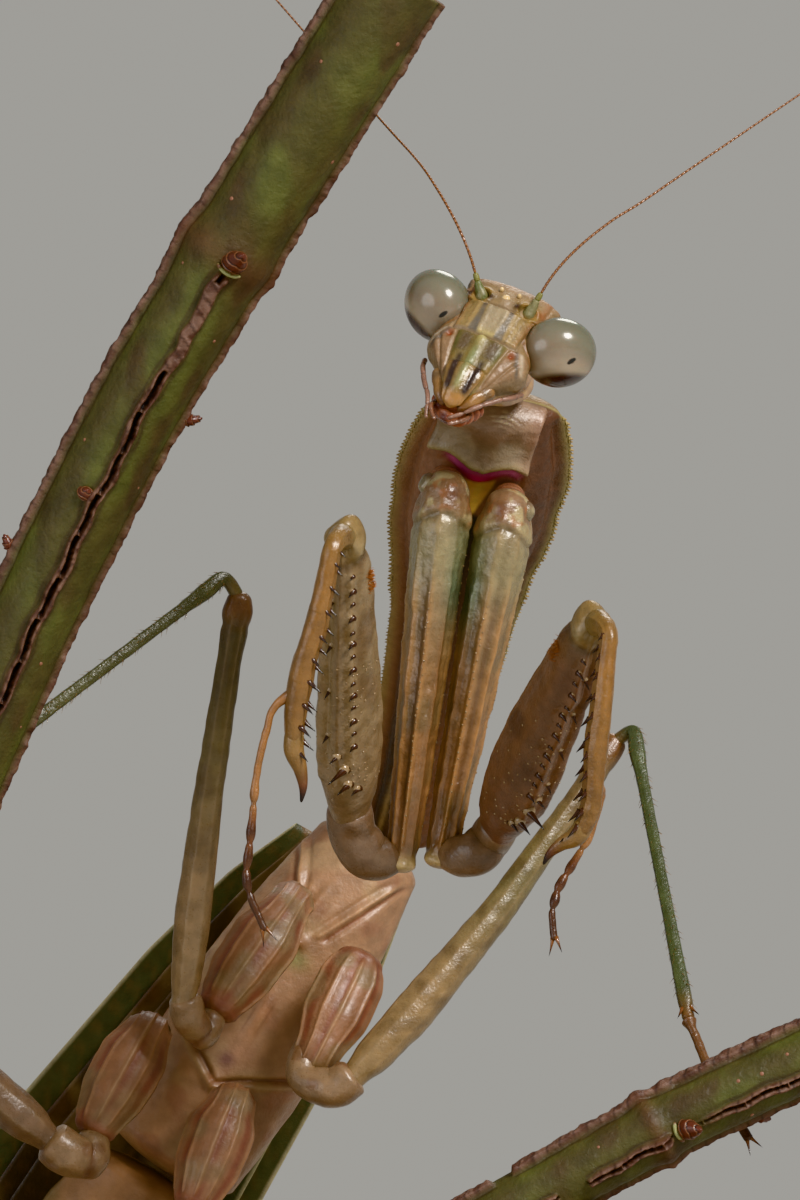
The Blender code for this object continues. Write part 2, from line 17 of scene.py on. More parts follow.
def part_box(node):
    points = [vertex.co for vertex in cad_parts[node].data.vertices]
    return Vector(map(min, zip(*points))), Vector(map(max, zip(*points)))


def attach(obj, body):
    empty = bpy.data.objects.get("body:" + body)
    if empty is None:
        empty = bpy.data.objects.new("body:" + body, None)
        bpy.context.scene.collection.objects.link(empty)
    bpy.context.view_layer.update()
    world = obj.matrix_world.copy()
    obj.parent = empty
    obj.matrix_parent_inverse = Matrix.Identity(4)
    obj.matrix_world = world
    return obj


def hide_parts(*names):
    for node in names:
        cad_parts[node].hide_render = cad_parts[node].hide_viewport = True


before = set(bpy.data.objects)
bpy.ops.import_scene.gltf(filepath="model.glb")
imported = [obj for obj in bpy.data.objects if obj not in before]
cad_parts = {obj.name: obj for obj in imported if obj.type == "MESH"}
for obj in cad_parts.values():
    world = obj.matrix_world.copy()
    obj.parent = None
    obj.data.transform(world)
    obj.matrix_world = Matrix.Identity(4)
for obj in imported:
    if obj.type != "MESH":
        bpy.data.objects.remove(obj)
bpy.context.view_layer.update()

bl_info = {
    "name": "Chinese Mantis",
    "version": (1, 0, 0),
    "blender": (4, 5, 0),
    "location": "View3D > Sidebar > Mantis",
    "description": "Builds the shell plates, eyes, limbs, wings, twigs and stand of a model mantis",
    "category": "Add Mesh",
}

MM = 0.001
SIDES = {"left": 1, "right": -1}
SEED = 11
FRONT = (0, -1, 0)
LATTICE_CELLS = 24
SLICES = 62


# Numbers ------------------------------------------------------------------------------------


def unit(vector):
    """The same direction with length one, for one vector or for many."""
    vector = np.asarray(vector, float)
    return vector / np.maximum(np.linalg.norm(vector, axis=-1, keepdims=True), 1e-12)


def follow(knots, values, at):
    """Reads a smooth curve that passes through values at knots."""
    knots = np.asarray(knots, float)
    values = np.asarray(values, float)
    slopes = np.gradient(values, knots, axis=0)
    i = np.clip(np.searchsorted(knots, at, side="right") - 1, 0, len(knots) - 2)
    gap = knots[i + 1] - knots[i]
    t = (at - knots[i]) / gap
    if values.ndim > 1:
        gap, t = gap[..., None], t[..., None]
    start = (1 + 2 * t) * (1 - t) ** 2 * values[i] + t * (1 - t) ** 2 * gap * slopes[i]
    return start + t**2 * (3 - 2 * t) * values[i + 1] + t**2 * (t - 1) * gap * slopes[i + 1]


def ramp(x, low, high):
    """0 below low, 1 above high and smooth between them."""
    t = np.clip((x - low) / (high - low), 0, 1)
    return t * t * (3 - 2 * t)


def bump(x, centre, half):
    """A smooth hill of height 1 at centre, down to about a third at a distance of half from it."""
    return np.exp(-(((x - centre) / half) ** 2))


LATTICE = np.random.default_rng(SEED).random((LATTICE_CELLS,) * 3)


def rough(points, size):
    """Smooth noise between -1 and 1 with lumps of about size millimetres."""
    place = points / size
    cell = np.floor(place).astype(int)
    t = place - cell
    t = t * t * (3 - 2 * t)
    total = 0
    for corner in np.ndindex(2, 2, 2):
        weight = np.prod(np.where(np.array(corner) == 1, t, 1 - t), axis=-1)
        i, j, k = ((cell[..., axis] + corner[axis]) % LATTICE_CELLS for axis in range(3))
        total = total + weight * LATTICE[i, j, k]
    return total * 2 - 1


PAINT_DEPTH = 0.77
PAINT_GREYING = 0.03


def ink(red, green, blue):
    """A screen colour from 0 to 255 as linear light."""
    value = np.array((red, green, blue)) / 255
    value = np.where(value <= 0.04045, value / 12.92, ((value + 0.055) / 1.055) ** 2.4)
    return PAINT_DEPTH * (value + (value.mean() - value) * PAINT_GREYING)


class Coat:
    """The paint of a surface, as linear light for each of its points."""

    def __init__(self, tint):
        self.tint = tint

    def lay(self, colour, mask):
        """Lays linear light over the paint where the mask is 1."""
        mask = np.asarray(mask)[..., None]
        self.tint = self.tint * (1 - mask) + colour * mask

    def wash(self, red, green, blue, mask):
        """Lays a screen colour over the paint where the mask is 1."""
        self.lay(ink(red, green, blue), mask)


def plain_coat(grid, red, green, blue):
    """One screen colour all over a surface."""
    return Coat(np.broadcast_to(ink(red, green, blue), grid.shape + (3,)))


def coat_along(skin, *stops):
    """Paint that changes along a limb, from (share, red, green, blue) stops."""
    knots = [stop[0] for stop in stops]
    values = np.array([ink(*stop[1:]) for stop in stops])
    channels = [np.interp(skin.share, knots, values[:, i]) for i in range(3)]
    return Coat(np.stack(channels, axis=-1))


# The frame's solids -------------------------------------------------------------------------


def solid(node):
    """A CAD body's points in millimetres and its triangles."""
    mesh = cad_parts[node].data
    points = np.empty(len(mesh.vertices) * 3)
    mesh.vertices.foreach_get("co", points)
    mesh.calc_loop_triangles()
    corners = np.empty(len(mesh.loop_triangles) * 3, int)
    mesh.loop_triangles.foreach_get("vertices", corners)
    return points.reshape(-1, 3) / MM, corners.reshape(-1, 3)


def centre_of(node):
    """The middle of a node's box, in millimetres."""
    low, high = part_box(node)
    return (np.array(low) + np.array(high)) / 2 / MM


def side_axes(axis, facing):
    """Two directions square to axis, the second as near to facing as it can be."""
    axis = unit(axis)
    across = unit(np.cross(axis, facing))
    return across, unit(np.cross(across, axis))


def section(points, corners, origin, axis, across, down):
    """Area, centre and half sizes of a solid's cut by a plane."""
    height = ((points - origin) @ axis)[corners] + 1e-9
    cut = corners[(height.min(1) < 0) & (height.max(1) > 0)]
    if not len(cut):
        return 0.0, origin, 0.0, 0.0
    ends = []
    height = (points - origin) @ axis + 1e-9
    for first, second in ((0, 1), (1, 2), (2, 0)):
        a, b = cut[:, first], cut[:, second]
        share = height[a] / (height[a] - height[b] + 1e-15)
        crossing = points[a] + (points[b] - points[a]) * share[:, None]
        ends.append((crossing, (height[a] < 0) != (height[b] < 0), height[a] < 0))
    rising = np.zeros((len(cut), 3))
    falling = np.zeros((len(cut), 3))
    for crossing, crosses, starts_low in ends:
        rising[crosses & starts_low] = crossing[crosses & starts_low]
        falling[crosses & ~starts_low] = crossing[crosses & ~starts_low]
    u = np.stack(((rising - origin) @ across, (falling - origin) @ across))
    v = np.stack(((rising - origin) @ down, (falling - origin) @ down))
    turn = u[0] * v[1] - u[1] * v[0]
    area = turn.sum() / 2
    middle = np.array(((u.sum(0) * turn).sum(), (v.sum(0) * turn).sum())) / (6 * area)
    spread = []
    for value, mid in ((u, middle[0]), (v, middle[1])):
        value = value - mid
        spread.append(((value[0] ** 2 + value[0] * value[1] + value[1] ** 2) * turn).sum() / 12 / area)
    half = [2 * math.sqrt(max(value, 1e-9)) for value in spread]
    return abs(area), origin + across * middle[0] + down * middle[1], half[0], half[1]


def limb_line(node, near, facing=FRONT, count=14, thin=0.3):
    """A limb's centre line and half sizes from its solid, from the end that lies nearer to near.

    Slices with less than thin of the usual area, such as those through end claws, are left off.
    """
    points, corners = solid(node)
    middle = points.mean(0)
    axis = np.linalg.svd(points - middle, full_matrices=False)[2][0]
    if (np.asarray(near) - middle) @ axis > 0:
        axis = -axis
    across, down = side_axes(axis, facing)
    along = (points - middle) @ axis
    found = []
    for height in np.linspace(along.min(), along.max(), SLICES)[1:-1]:
        found.append(section(points, corners, middle + axis * height, axis, across, down))
    area = np.array([entry[0] for entry in found])
    kept = np.flatnonzero(area > thin * np.median(area))
    found = found[kept[0]:kept[-1] + 1]
    steps = np.linspace(0, len(found) - 1, count).round().astype(int)
    centres = np.array([found[i][1] for i in steps])
    sizes = np.array([found[i][2:] for i in steps])
    centres[0] -= unit(centres[1] - centres[0]) * (along.max() - along.min()) / SLICES * (kept[0] + 1)
    return centres, sizes


def armed_side(node, centres):
    """The direction in which most of a limb's spines stand out."""
    points = solid(node)[0]
    axis = unit(centres[-1] - centres[0])
    away = points - centres[0]
    away = away - (away @ axis)[:, None] * axis
    return unit((away * np.linalg.norm(away, axis=1, keepdims=True) ** 4).sum(0))


# Skins --------------------------------------------------------------------------------------


class Skin:
    """A grid of points round a centre line, kept with each point's place on it.

    share runs from 0 to 1 along the line, angle from -pi to pi round it with 0 on the facing
    side, out is the direction away from the line, and points are millimetres. A power of 2
    gives round sections and a higher one squarer sections; it can also be a function of share.
    """

    def __init__(self, centres, sizes, facing, rows=120, columns=48, power=2.0, rounding=(0.5, 0.5)):
        centres = np.asarray(centres, float)
        sizes = np.asarray(sizes, float)
        steps = np.linalg.norm(np.diff(centres, axis=0), axis=1)
        knots = np.concatenate(([0], np.cumsum(steps))) / steps.sum()
        even = np.linspace(0, 1, rows)
        along = 0.6 * even + 0.4 * (0.5 - 0.5 * np.cos(np.pi * even))
        self.length = steps.sum()
        line = follow(knots, centres, along)
        widths = np.maximum(follow(knots, sizes, along), 0.01)
        tangent = unit(np.gradient(line, along, axis=0))
        across = unit(np.cross(tangent, np.asarray(facing, float)))
        down = unit(np.cross(across, tangent))
        start = np.clip(along * self.length / max(rounding[0], 1e-6), 0, 1)
        end = np.clip((1 - along) * self.length / max(rounding[1], 1e-6), 0, 1)
        closing = np.sqrt(np.maximum(1 - (1 - start) ** 2, 0)) * np.sqrt(np.maximum(1 - (1 - end) ** 2, 0))
        closing = np.maximum(closing, 0.02)[:, None]
        angle = np.linspace(-np.pi, np.pi, columns, endpoint=False)
        self.share, self.angle = np.meshgrid(along, angle, indexing="ij")
        power = power(along)[:, None] if callable(power) else power
        side = np.sign(np.sin(angle)) * np.abs(np.sin(angle)) ** (2 / power)
        front = np.sign(np.cos(angle)) * np.abs(np.cos(angle)) ** (2 / power)
        width = widths[:, :1] * closing
        depth = widths[:, 1:] * closing
        side, front = side * np.ones_like(width), front * np.ones_like(width)
        reach = across[:, None] * (width * side)[..., None] + down[:, None] * (depth * front)[..., None]
        self.points = line[:, None] + reach
        normal = across[:, None] * (side / width.clip(0.05))[..., None]
        normal = normal + down[:, None] * (front / depth.clip(0.05))[..., None]
        self.out = unit(normal)
        self.closing = np.broadcast_to(closing, self.share.shape)
        self.line = line

    def raise_by(self, height):
        """Moves the surface outwards by height millimetres, less towards the closed ends."""
        self.points = self.points + self.out * (np.asarray(height) * self.closing)[..., None]

    def at(self, share, angle):
        """A point of the surface and the direction out of it."""
        row = int(np.argmin(np.abs(self.share[:, 0] - share)))
        turn = (angle - self.angle[0] + np.pi) % (2 * np.pi) - np.pi
        column = int(np.argmin(np.abs(turn)))
        return self.points[row, column], self.out[row, column]

    def lumps(self, size):
        """Noise between -1 and 1 over the surface, with lumps of about size millimetres."""
        return rough(self.points, size)

    def finish(self, name, coat, finish, slot, *nodes):
        """Builds the painted piece and settles it in a finish, in place of its nodes; the slot is not used.
        """
        return settle(self.build(name, coat.tint), FINISH[finish], nodes)

    def build(self, name, tint):
        """A closed mesh object from the grid, with its painted colours."""
        rows, columns = self.share.shape
        points = self.points.reshape(-1, 3)
        caps = np.array((self.points[0].mean(0), self.points[-1].mean(0)))
        index = np.arange(rows * columns).reshape(rows, columns)
        after = np.roll(index, -1, axis=1)
        quads = np.stack((index[:-1], after[:-1], after[1:], index[1:]), axis=-1).reshape(-1, 4)
        last = rows * columns
        fans = [(last, b, a) for a, b in zip(index[0], after[0])]
        fans += [(last + 1, a, b) for a, b in zip(index[-1], after[-1])]
        tint = np.asarray(tint).reshape(-1, 3)
        ends = np.array((tint[:columns].mean(0), tint[-columns:].mean(0)))
        return new_piece(name, np.vstack((points, caps)), quads.tolist() + fans, np.vstack((tint, ends)))


def new_piece(name, points, faces, tint=None):
    """A smooth mesh object from points in millimetres, with a colour for each point."""
    mesh = bpy.data.meshes.new(name)
    mesh.from_pydata((np.asarray(points) * MM).tolist(), [], [list(face) for face in faces])
    if tint is not None:
        layer = mesh.color_attributes.new("tint", "FLOAT_COLOR", "POINT")
        colours = np.ones((len(mesh.vertices), 4))
        colours[:, :3] = np.clip(tint, 0, 1)
        layer.data.foreach_set("color", colours.ravel())
    mesh.validate()
    mesh.shade_smooth()
    piece = bpy.data.objects.new(name, mesh)
    bpy.context.scene.collection.objects.link(piece)
    return piece


def face_outwards(piece):
    """Turns a closed mesh's faces so that they look outwards."""
    mesh = piece.data
    mesh.calc_loop_triangles()
    points = np.empty(len(mesh.vertices) * 3)
    mesh.vertices.foreach_get("co", points)
    corners = np.empty(len(mesh.loop_triangles) * 3, int)
    mesh.loop_triangles.foreach_get("vertices", corners)
    a, b, c = points.reshape(-1, 3)[corners.reshape(-1, 3)].transpose(1, 0, 2)
    if np.einsum("ij,ij->", a, np.cross(b, c)) < 0:
        mesh.flip_normals()


def settle(piece, material, nodes=()):
    """Gives a finished piece its material and its body, and hides the nodes that it stands for."""
    if not piece.data.materials:
        piece.data.materials.append(material)
    face_outwards(piece)
    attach(piece, "root")
    if nodes:
        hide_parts(*nodes)
    return piece


# Materials ----------------------------------------------------------------------------------


def add_node(tree, kind, inputs=(), **settings):
    """A node with its settings, and each named input linked or given a value."""
    made = tree.nodes.new(kind)
    for key, value in settings.items():
        setattr(made, key, value)
    for key, value in dict(inputs).items():
        if isinstance(value, bpy.types.NodeSocket):
            tree.links.new(value, made.inputs[key])
        else:
            made.inputs[key].default_value = value
    return made


def new_group(name, inputs, outputs):
    """An empty shader group with named sockets, each (kind, name, default)."""
    group = bpy.data.node_groups.new(name, "ShaderNodeTree")
    for kind, label, default in inputs:
        socket = group.interface.new_socket(label, in_out="INPUT", socket_type="NodeSocket" + kind)
        socket.default_value = default
    for kind, label in outputs:
        group.interface.new_socket(label, in_out="OUTPUT", socket_type="NodeSocket" + kind)
    return group, group.nodes.new("NodeGroupInput").outputs, group.nodes.new("NodeGroupOutput").inputs


def calc(tree, operation, first, second):
    """One sum or product of two values, as a node."""
    return add_node(tree, "ShaderNodeMath", {0: first, 1: second}, operation=operation).outputs[0]


def remap(tree, value, low, high, to_low, to_high):
    """A value carried from one range into another, as a node."""
    ends = {"Value": value, 1: low, 2: high, 3: to_low, 4: to_high}
    return add_node(tree, "ShaderNodeMapRange", ends).outputs[0]


def mixed(tree, factor, first, second, blend="MIX"):
    """Two colours mixed by a factor, as a node."""
    made = tree.nodes.new("ShaderNodeMix")
    made.data_type = "RGBA"
    made.blend_type = blend
    for socket, value in ((made.inputs[0], factor), (made.inputs[6], first), (made.inputs[7], second)):
        if isinstance(value, bpy.types.NodeSocket):
            tree.links.new(value, socket)
        else:
            socket.default_value = value
    return made.outputs[2]


def shell_grain_group():
    """Insect shell: soft mottling, fine dark specks, pits and a little change of gloss."""
    group, given, result = new_group(
        "Shell Grain",
        [
            ("Color", "Color", (0.5, 0.4, 0.3, 1)),
            ("Float", "Lumps per Metre", 2200.0),
            ("Float", "Mottling", 0.3),
            ("Float", "Specks", 0.3),
            ("Float", "Gloss Base", 0.4),
        ],
        [("Color", "Color"), ("Float", "Roughness"), ("Float", "Height")],
    )
    place = add_node(group, "ShaderNodeTexCoord").outputs["Object"]
    scale = given["Lumps per Metre"]
    broad = add_node(group, "ShaderNodeTexNoise", {"Vector": place, "Scale": scale, "Detail": 4.0})
    fine_scale = calc(group, "MULTIPLY", scale, 4.5)
    fine = add_node(group, "ShaderNodeTexNoise", {"Vector": place, "Scale": fine_scale, "Detail": 2.0})
    dot_scale = calc(group, "MULTIPLY", scale, 6.5)
    cells = add_node(group, "ShaderNodeTexVoronoi", {"Vector": place, "Scale": dot_scale})
    light = remap(group, broad.outputs[0], 0.3, 0.7, 0.62, 1.35)
    tone = add_node(group, "ShaderNodeCombineColor", {0: light, 1: light, 2: light}).outputs[0]
    mottled = mixed(
        group, given["Mottling"], given["Color"], mixed(group, 1.0, given["Color"], tone, "MULTIPLY")
    )
    speck = remap(group, cells.outputs["Distance"], 0.04, 0.24, 1.0, 0.0)
    amount = calc(group, "MULTIPLY", speck, given["Specks"])
    darker = mixed(group, 1.0, mottled, (0.45, 0.36, 0.28, 1), "MULTIPLY")
    group.links.new(mixed(group, amount, mottled, darker), result["Color"])
    uneven = remap(group, fine.outputs[0], 0.3, 0.7, -0.08, 0.1)
    gloss = calc(group, "ADD", uneven, given["Gloss Base"])
    group.links.new(gloss, result["Roughness"])
    pits = calc(group, "MULTIPLY", speck, -0.22)
    height = calc(group, "ADD", pits, fine.outputs[0])
    group.links.new(height, result["Height"])
    return group


def wood_grain_group():
    """Straight growth lines of wood or bark that run along one direction."""
    group, given, result = new_group(
        "Wood Grain",
        [
            ("Color", "Light", (0.3, 0.2, 0.1, 1)),
            ("Color", "Dark", (0.1, 0.06, 0.03, 1)),
            ("Float", "Lines per Metre", 300.0),
            ("Vector", "Stretch", (1.0, 1.0, 0.08)),
        ],
        [("Color", "Color"), ("Float", "Height")],
    )
    place = add_node(group, "ShaderNodeTexCoord").outputs["Object"]
    drawn = add_node(group, "ShaderNodeVectorMath", {0: place, 1: given["Stretch"]}, operation="MULTIPLY")
    lines = add_node(
        group,
        "ShaderNodeTexNoise",
        {"Vector": drawn.outputs[0], "Scale": given["Lines per Metre"], "Detail": 8.0, "Distortion": 0.6},
    )
    mask = remap(group, lines.outputs[0], 0.35, 0.65, 0.0, 1.0)
    group.links.new(mixed(group, mask, given["Light"], given["Dark"]), result["Color"])
    group.links.new(mask, result["Height"])
    return group


def new_material(name, **constants):
    """A material with a Principled shader whose plain values are set on its own sockets."""
    material = bpy.data.materials.new(name)
    material.use_nodes = True
    shader = material.node_tree.nodes["Principled BSDF"]
    for key, value in constants.items():
        shader.inputs[key.replace("_", " ")].default_value = value
    return material, material.node_tree, shader


def add_bump(tree, shader, height, distance, strength=1.0):
    """Fine relief on a shader, distance metres deep."""
    made = add_node(tree, "ShaderNodeBump", {"Height": height, "Distance": distance, "Strength": strength})
    tree.links.new(made.outputs[0], shader.inputs["Normal"])


def grained(tree, shader, group, inputs):
    """A grain group with its inputs, whose colour becomes the shader's own."""
    grain = add_node(tree, "ShaderNodeGroup", inputs, node_tree=bpy.data.node_groups[group])
    tree.links.new(grain.outputs["Color"], shader.inputs["Base Color"])
    return grain


def shell_material(name, lumps=2200.0, mottling=0.35, specks=0.35, gloss=0.4, relief=0.00003, lacquer=0.15):
    """Shell whose colours are painted on the mesh."""
    material, tree, shader = new_material(
        name, Coat_Weight=lacquer, Coat_Roughness=0.25, Subsurface_Weight=0.1, Subsurface_Scale=0.0005
    )
    shader.inputs["Subsurface Radius"].default_value = (1.0, 0.5, 0.25)
    paint = add_node(tree, "ShaderNodeAttribute", attribute_name="tint").outputs["Color"]
    values = {"Lumps per Metre": lumps, "Mottling": mottling, "Specks": specks, "Gloss Base": gloss}
    grain = grained(tree, shader, "Shell Grain", {"Color": paint, **values})
    tree.links.new(grain.outputs["Roughness"], shader.inputs["Roughness"])
    add_bump(tree, shader, grain.outputs["Height"], relief)
    return material


def horn_material(name, root, tip, gloss=0.25):
    """Spines, claws and beads: one colour at the root and another at the tip."""
    material, tree, shader = new_material(name, Roughness=gloss, Coat_Weight=0.3)
    share = add_node(tree, "ShaderNodeAttribute", attribute_name="tip").outputs["Fac"]
    mask = add_node(tree, "ShaderNodeMapRange", {"Value": share, 1: 0.25, 2: 0.85}).outputs[0]
    colour = mixed(tree, mask, (*root, 1), (*tip, 1))
    tree.links.new(colour, shader.inputs["Base Color"])
    return material


def plain_gloss_material(name, colour, gloss, lumps=3000.0, lacquer=0.4):
    """A small glossy piece of one slightly mottled colour."""
    material, tree, shader = new_material(name, Coat_Weight=lacquer)
    values = {"Lumps per Metre": lumps, "Specks": 0.1, "Gloss Base": gloss}
    grain = grained(tree, shader, "Shell Grain", {"Color": (*colour, 1), **values})
    tree.links.new(grain.outputs["Roughness"], shader.inputs["Roughness"])
    return material


def wood_material(name, light, dark, lines, stretch, gloss, relief, lacquer=0.0):
    """Polished wood with its lines along one direction."""
    material, tree, shader = new_material(name, Roughness=gloss, Coat_Weight=lacquer, Coat_Roughness=0.2)
    tones = {"Light": (*light, 1), "Dark": (*dark, 1)}
    grain = grained(tree, shader, "Wood Grain", {**tones, "Lines per Metre": lines, "Stretch": stretch})
    add_bump(tree, shader, grain.outputs["Height"], relief)
    return material


def eye_material():
    """A compound eye: a smooth lacquered skin over very fine facets."""
    material, tree, shader = new_material(
        "compound_eye", Roughness=0.22, Coat_Weight=0.5, Coat_Roughness=0.06, Subsurface_Weight=0.15,
        Subsurface_Scale=0.0006,
    )
    place = add_node(tree, "ShaderNodeTexCoord").outputs["Object"]
    paint = add_node(tree, "ShaderNodeAttribute", attribute_name="tint").outputs["Color"]
    facets = add_node(tree, "ShaderNodeTexVoronoi", {"Vector": place, "Scale": 26000.0})
    shade = remap(tree, facets.outputs["Distance"], 0.2, 0.7, 1.06, 0.86)
    tone = add_node(tree, "ShaderNodeCombineColor", {0: shade, 1: shade, 2: shade})
    colour = mixed(tree, 0.6, paint, mixed(tree, 1.0, paint, tone.outputs[0], "MULTIPLY"))
    tree.links.new(colour, shader.inputs["Base Color"])
    add_bump(tree, shader, facets.outputs["Distance"], 0.000004, 0.35)
    return material


FINISH = {}
TREES = {}


def make_materials():
    """Every finish of the model, by a maker's name for it."""
    shell_grain_group()
    wood_grain_group()
    return {
        "shell": shell_material("painted_shell", specks=0.12),
        "head": shell_material("head_shell", lumps=1900.0, specks=0.25, gloss=0.46, lacquer=0.1),
        "leg": shell_material(
            "leg_shell", lumps=1700.0, mottling=0.5, specks=0.14, gloss=0.34, lacquer=0.25
        ),
        "belly": shell_material(
            "belly_skin", lumps=1300.0, mottling=0.45, specks=0.08, gloss=0.48, relief=0.00003
        ),
        "wet": shell_material("wet_mouth", lumps=3000.0, mottling=0.3, specks=0.1, gloss=0.16, lacquer=0.6),
        "wing": shell_material(
            "wing_leather", lumps=1500.0, mottling=0.5, specks=0.5, gloss=0.42, lacquer=0.1
        ),
        "bark": shell_material(
            "twig_bark", lumps=1100.0, mottling=0.6, specks=0.12, gloss=0.6, relief=0.00005, lacquer=0.0
        ),
        "eye": eye_material(),
        "spine": horn_material("spine_horn", ink(70, 40, 26), ink(14, 8, 6)),
        "pale_spine": horn_material("rim_denticle", ink(168, 148, 96), ink(172, 140, 92), 0.35),
        "claw": horn_material("claw_horn", ink(130, 80, 40), ink(28, 12, 8)),
        "bead": plain_gloss_material("pale_bead", ink(160, 134, 100), 0.2, lacquer=0.5),
        "feeler": horn_material("feeler_ring", ink(158, 104, 58), ink(112, 68, 36), 0.4),
        "hair": horn_material("short_hair", ink(150, 115, 70), ink(170, 140, 95), 0.45),
        "brush": horn_material("cleaning_brush", ink(176, 100, 44), ink(196, 124, 60), 0.5),
        "ocellus": plain_gloss_material("ocellus_bead", ink(226, 196, 146), 0.12),
        "wart": plain_gloss_material("bark_wart", ink(150, 104, 82), 0.5, lacquer=0.0),
        "base": wood_material(
            "base_walnut", ink(122, 82, 52), ink(66, 40, 24), 90.0, (1.0, 0.07, 1.0), 0.34, 0.00002,
            lacquer=0.25,
        ),
        "rod": rod_material(),
    }


def rod_material():
    """Drawn brass wire with fine lengthwise lines."""
    material, tree, shader = new_material("brass_rod", Metallic=1.0)
    shader.inputs["Base Color"].default_value = (*ink(196, 166, 104), 1)
    place = add_node(tree, "ShaderNodeTexCoord").outputs["Object"]
    drawn = add_node(tree, "ShaderNodeVectorMath", {0: place, 1: (1.0, 1.0, 0.02)}, operation="MULTIPLY")
    lines = add_node(
        tree, "ShaderNodeTexNoise", {"Vector": drawn.outputs[0], "Scale": 6000.0, "Detail": 3.0}
    )
    tree.links.new(remap(tree, lines.outputs[0], 0.3, 0.7, 0.22, 0.42), shader.inputs["Roughness"])
    add_bump(tree, shader, lines.outputs[0], 0.000008)
    return material


# Repeated pieces ----------------------------------------------------------------------------


def geometry_tree(name, inputs):
    """An empty Geometry Nodes tree with named inputs."""
    tree = bpy.data.node_groups.new(name, "GeometryNodeTree")
    tree.interface.new_socket("Geometry", in_out="INPUT", socket_type="NodeSocketGeometry")
    for kind, label, default in inputs:
        socket = tree.interface.new_socket(label, in_out="INPUT", socket_type="NodeSocket" + kind)
        if default is not None:
            socket.default_value = default
    tree.interface.new_socket("Geometry", in_out="OUTPUT", socket_type="NodeSocketGeometry")
    return tree, tree.nodes.new("NodeGroupInput").outputs, tree.nodes.new("NodeGroupOutput").inputs


def repeat_on(tree, given, result, points, piece, rotation, reach):
    """Puts a piece on every point, as wide as its girth and as long as reach, in its material."""
    girth = named(tree, "girth")
    size = add_node(tree, "ShaderNodeCombineXYZ", {0: girth, 1: girth, 2: reach}).outputs[0]
    places = {"Points": points, "Instance": piece, "Rotation": rotation, "Scale": size}
    grown = add_node(tree, "GeometryNodeInstanceOnPoints", places).outputs[0]
    real = add_node(tree, "GeometryNodeRealizeInstances", {"Geometry": grown}).outputs[0]
    dressed = add_node(tree, "GeometryNodeSetMaterial", {"Geometry": real, "Material": given["Material"]})
    tree.links.new(dressed.outputs[0], result["Geometry"])


def named(tree, label, kind="FLOAT"):
    """A point's own value, read by its name."""
    made = tree.nodes.new("GeometryNodeInputNamedAttribute")
    made.data_type = kind
    made.inputs["Name"].default_value = label
    return made.outputs["Attribute"]


def spine_tree():
    """A curved, pointed spine on every point, aimed by the points' own attributes."""
    tree, given, result = geometry_tree(
        "Spines",
        [
            ("Int", "Sides", 7), ("Float", "Hook", 0.25), ("Float", "Point", 0.06),
            ("Material", "Material", None),
        ],
    )
    cone = add_node(
        tree,
        "GeometryNodeMeshCone",
        {
            "Vertices": given["Sides"], "Side Segments": 6, "Radius Top": given["Point"],
            "Radius Bottom": 1.0, "Depth": 1.0,
        },
    )
    place = tree.nodes.new("GeometryNodeInputPosition").outputs[0]
    split = add_node(tree, "ShaderNodeSeparateXYZ", {"Vector": place})
    height = split.outputs["Z"]
    squared = calc(tree, "POWER", height, 2.0)
    lean = calc(tree, "MULTIPLY", squared, given["Hook"])
    swell = remap(tree, height, 0.0, 0.25, 1.35, 1.0)
    wide = add_node(tree, "ShaderNodeCombineXYZ", {0: swell, 1: swell, 2: 1.0})
    flared = add_node(
        tree, "ShaderNodeVectorMath", {0: place, 1: wide.outputs[0]}, operation="MULTIPLY"
    ).outputs[0]
    offset = add_node(tree, "ShaderNodeCombineXYZ", {"X": lean}).outputs[0]
    bent = add_node(tree, "ShaderNodeVectorMath", {0: flared, 1: offset}, operation="ADD").outputs[0]
    marked = add_node(
        tree, "GeometryNodeStoreNamedAttribute", {
            "Geometry": cone.outputs["Mesh"], "Name": "tip", "Value": height
        }
    )
    shaped = add_node(
        tree, "GeometryNodeSetPosition", {"Geometry": marked.outputs[0], "Position": bent}
    ).outputs[0]
    aimed = add_node(
        tree, "FunctionNodeAlignRotationToVector", {"Vector": named(tree, "aim", "FLOAT_VECTOR")},
        axis="Z",
    )
    leaning = add_node(
        tree,
        "FunctionNodeAlignRotationToVector",
        {"Rotation": aimed.outputs[0], "Vector": named(tree, "lean", "FLOAT_VECTOR")},
        axis="X",
        pivot_axis="Z",
    )
    repeat_on(tree, given, result, given["Geometry"], shaped, leaning.outputs[0], named(tree, "reach"))
    return tree


def bead_tree():
    """A small round bead on every point, as large as the point's own girth."""
    tree, given, result = geometry_tree("Beads", [("Int", "Detail", 2), ("Material", "Material", None)])
    ball = add_node(tree, "GeometryNodeMeshIcoSphere", {"Radius": 1.0, "Subdivisions": given["Detail"]})
    smooth = add_node(tree, "GeometryNodeSetShadeSmooth", {0: ball.outputs["Mesh"]}).outputs[0]
    aimed = add_node(
        tree, "FunctionNodeAlignRotationToVector", {"Vector": named(tree, "aim", "FLOAT_VECTOR")},
        axis="Z",
    )
    repeat_on(tree, given, result, given["Geometry"], smooth, aimed.outputs[0], named(tree, "reach"))
    return tree


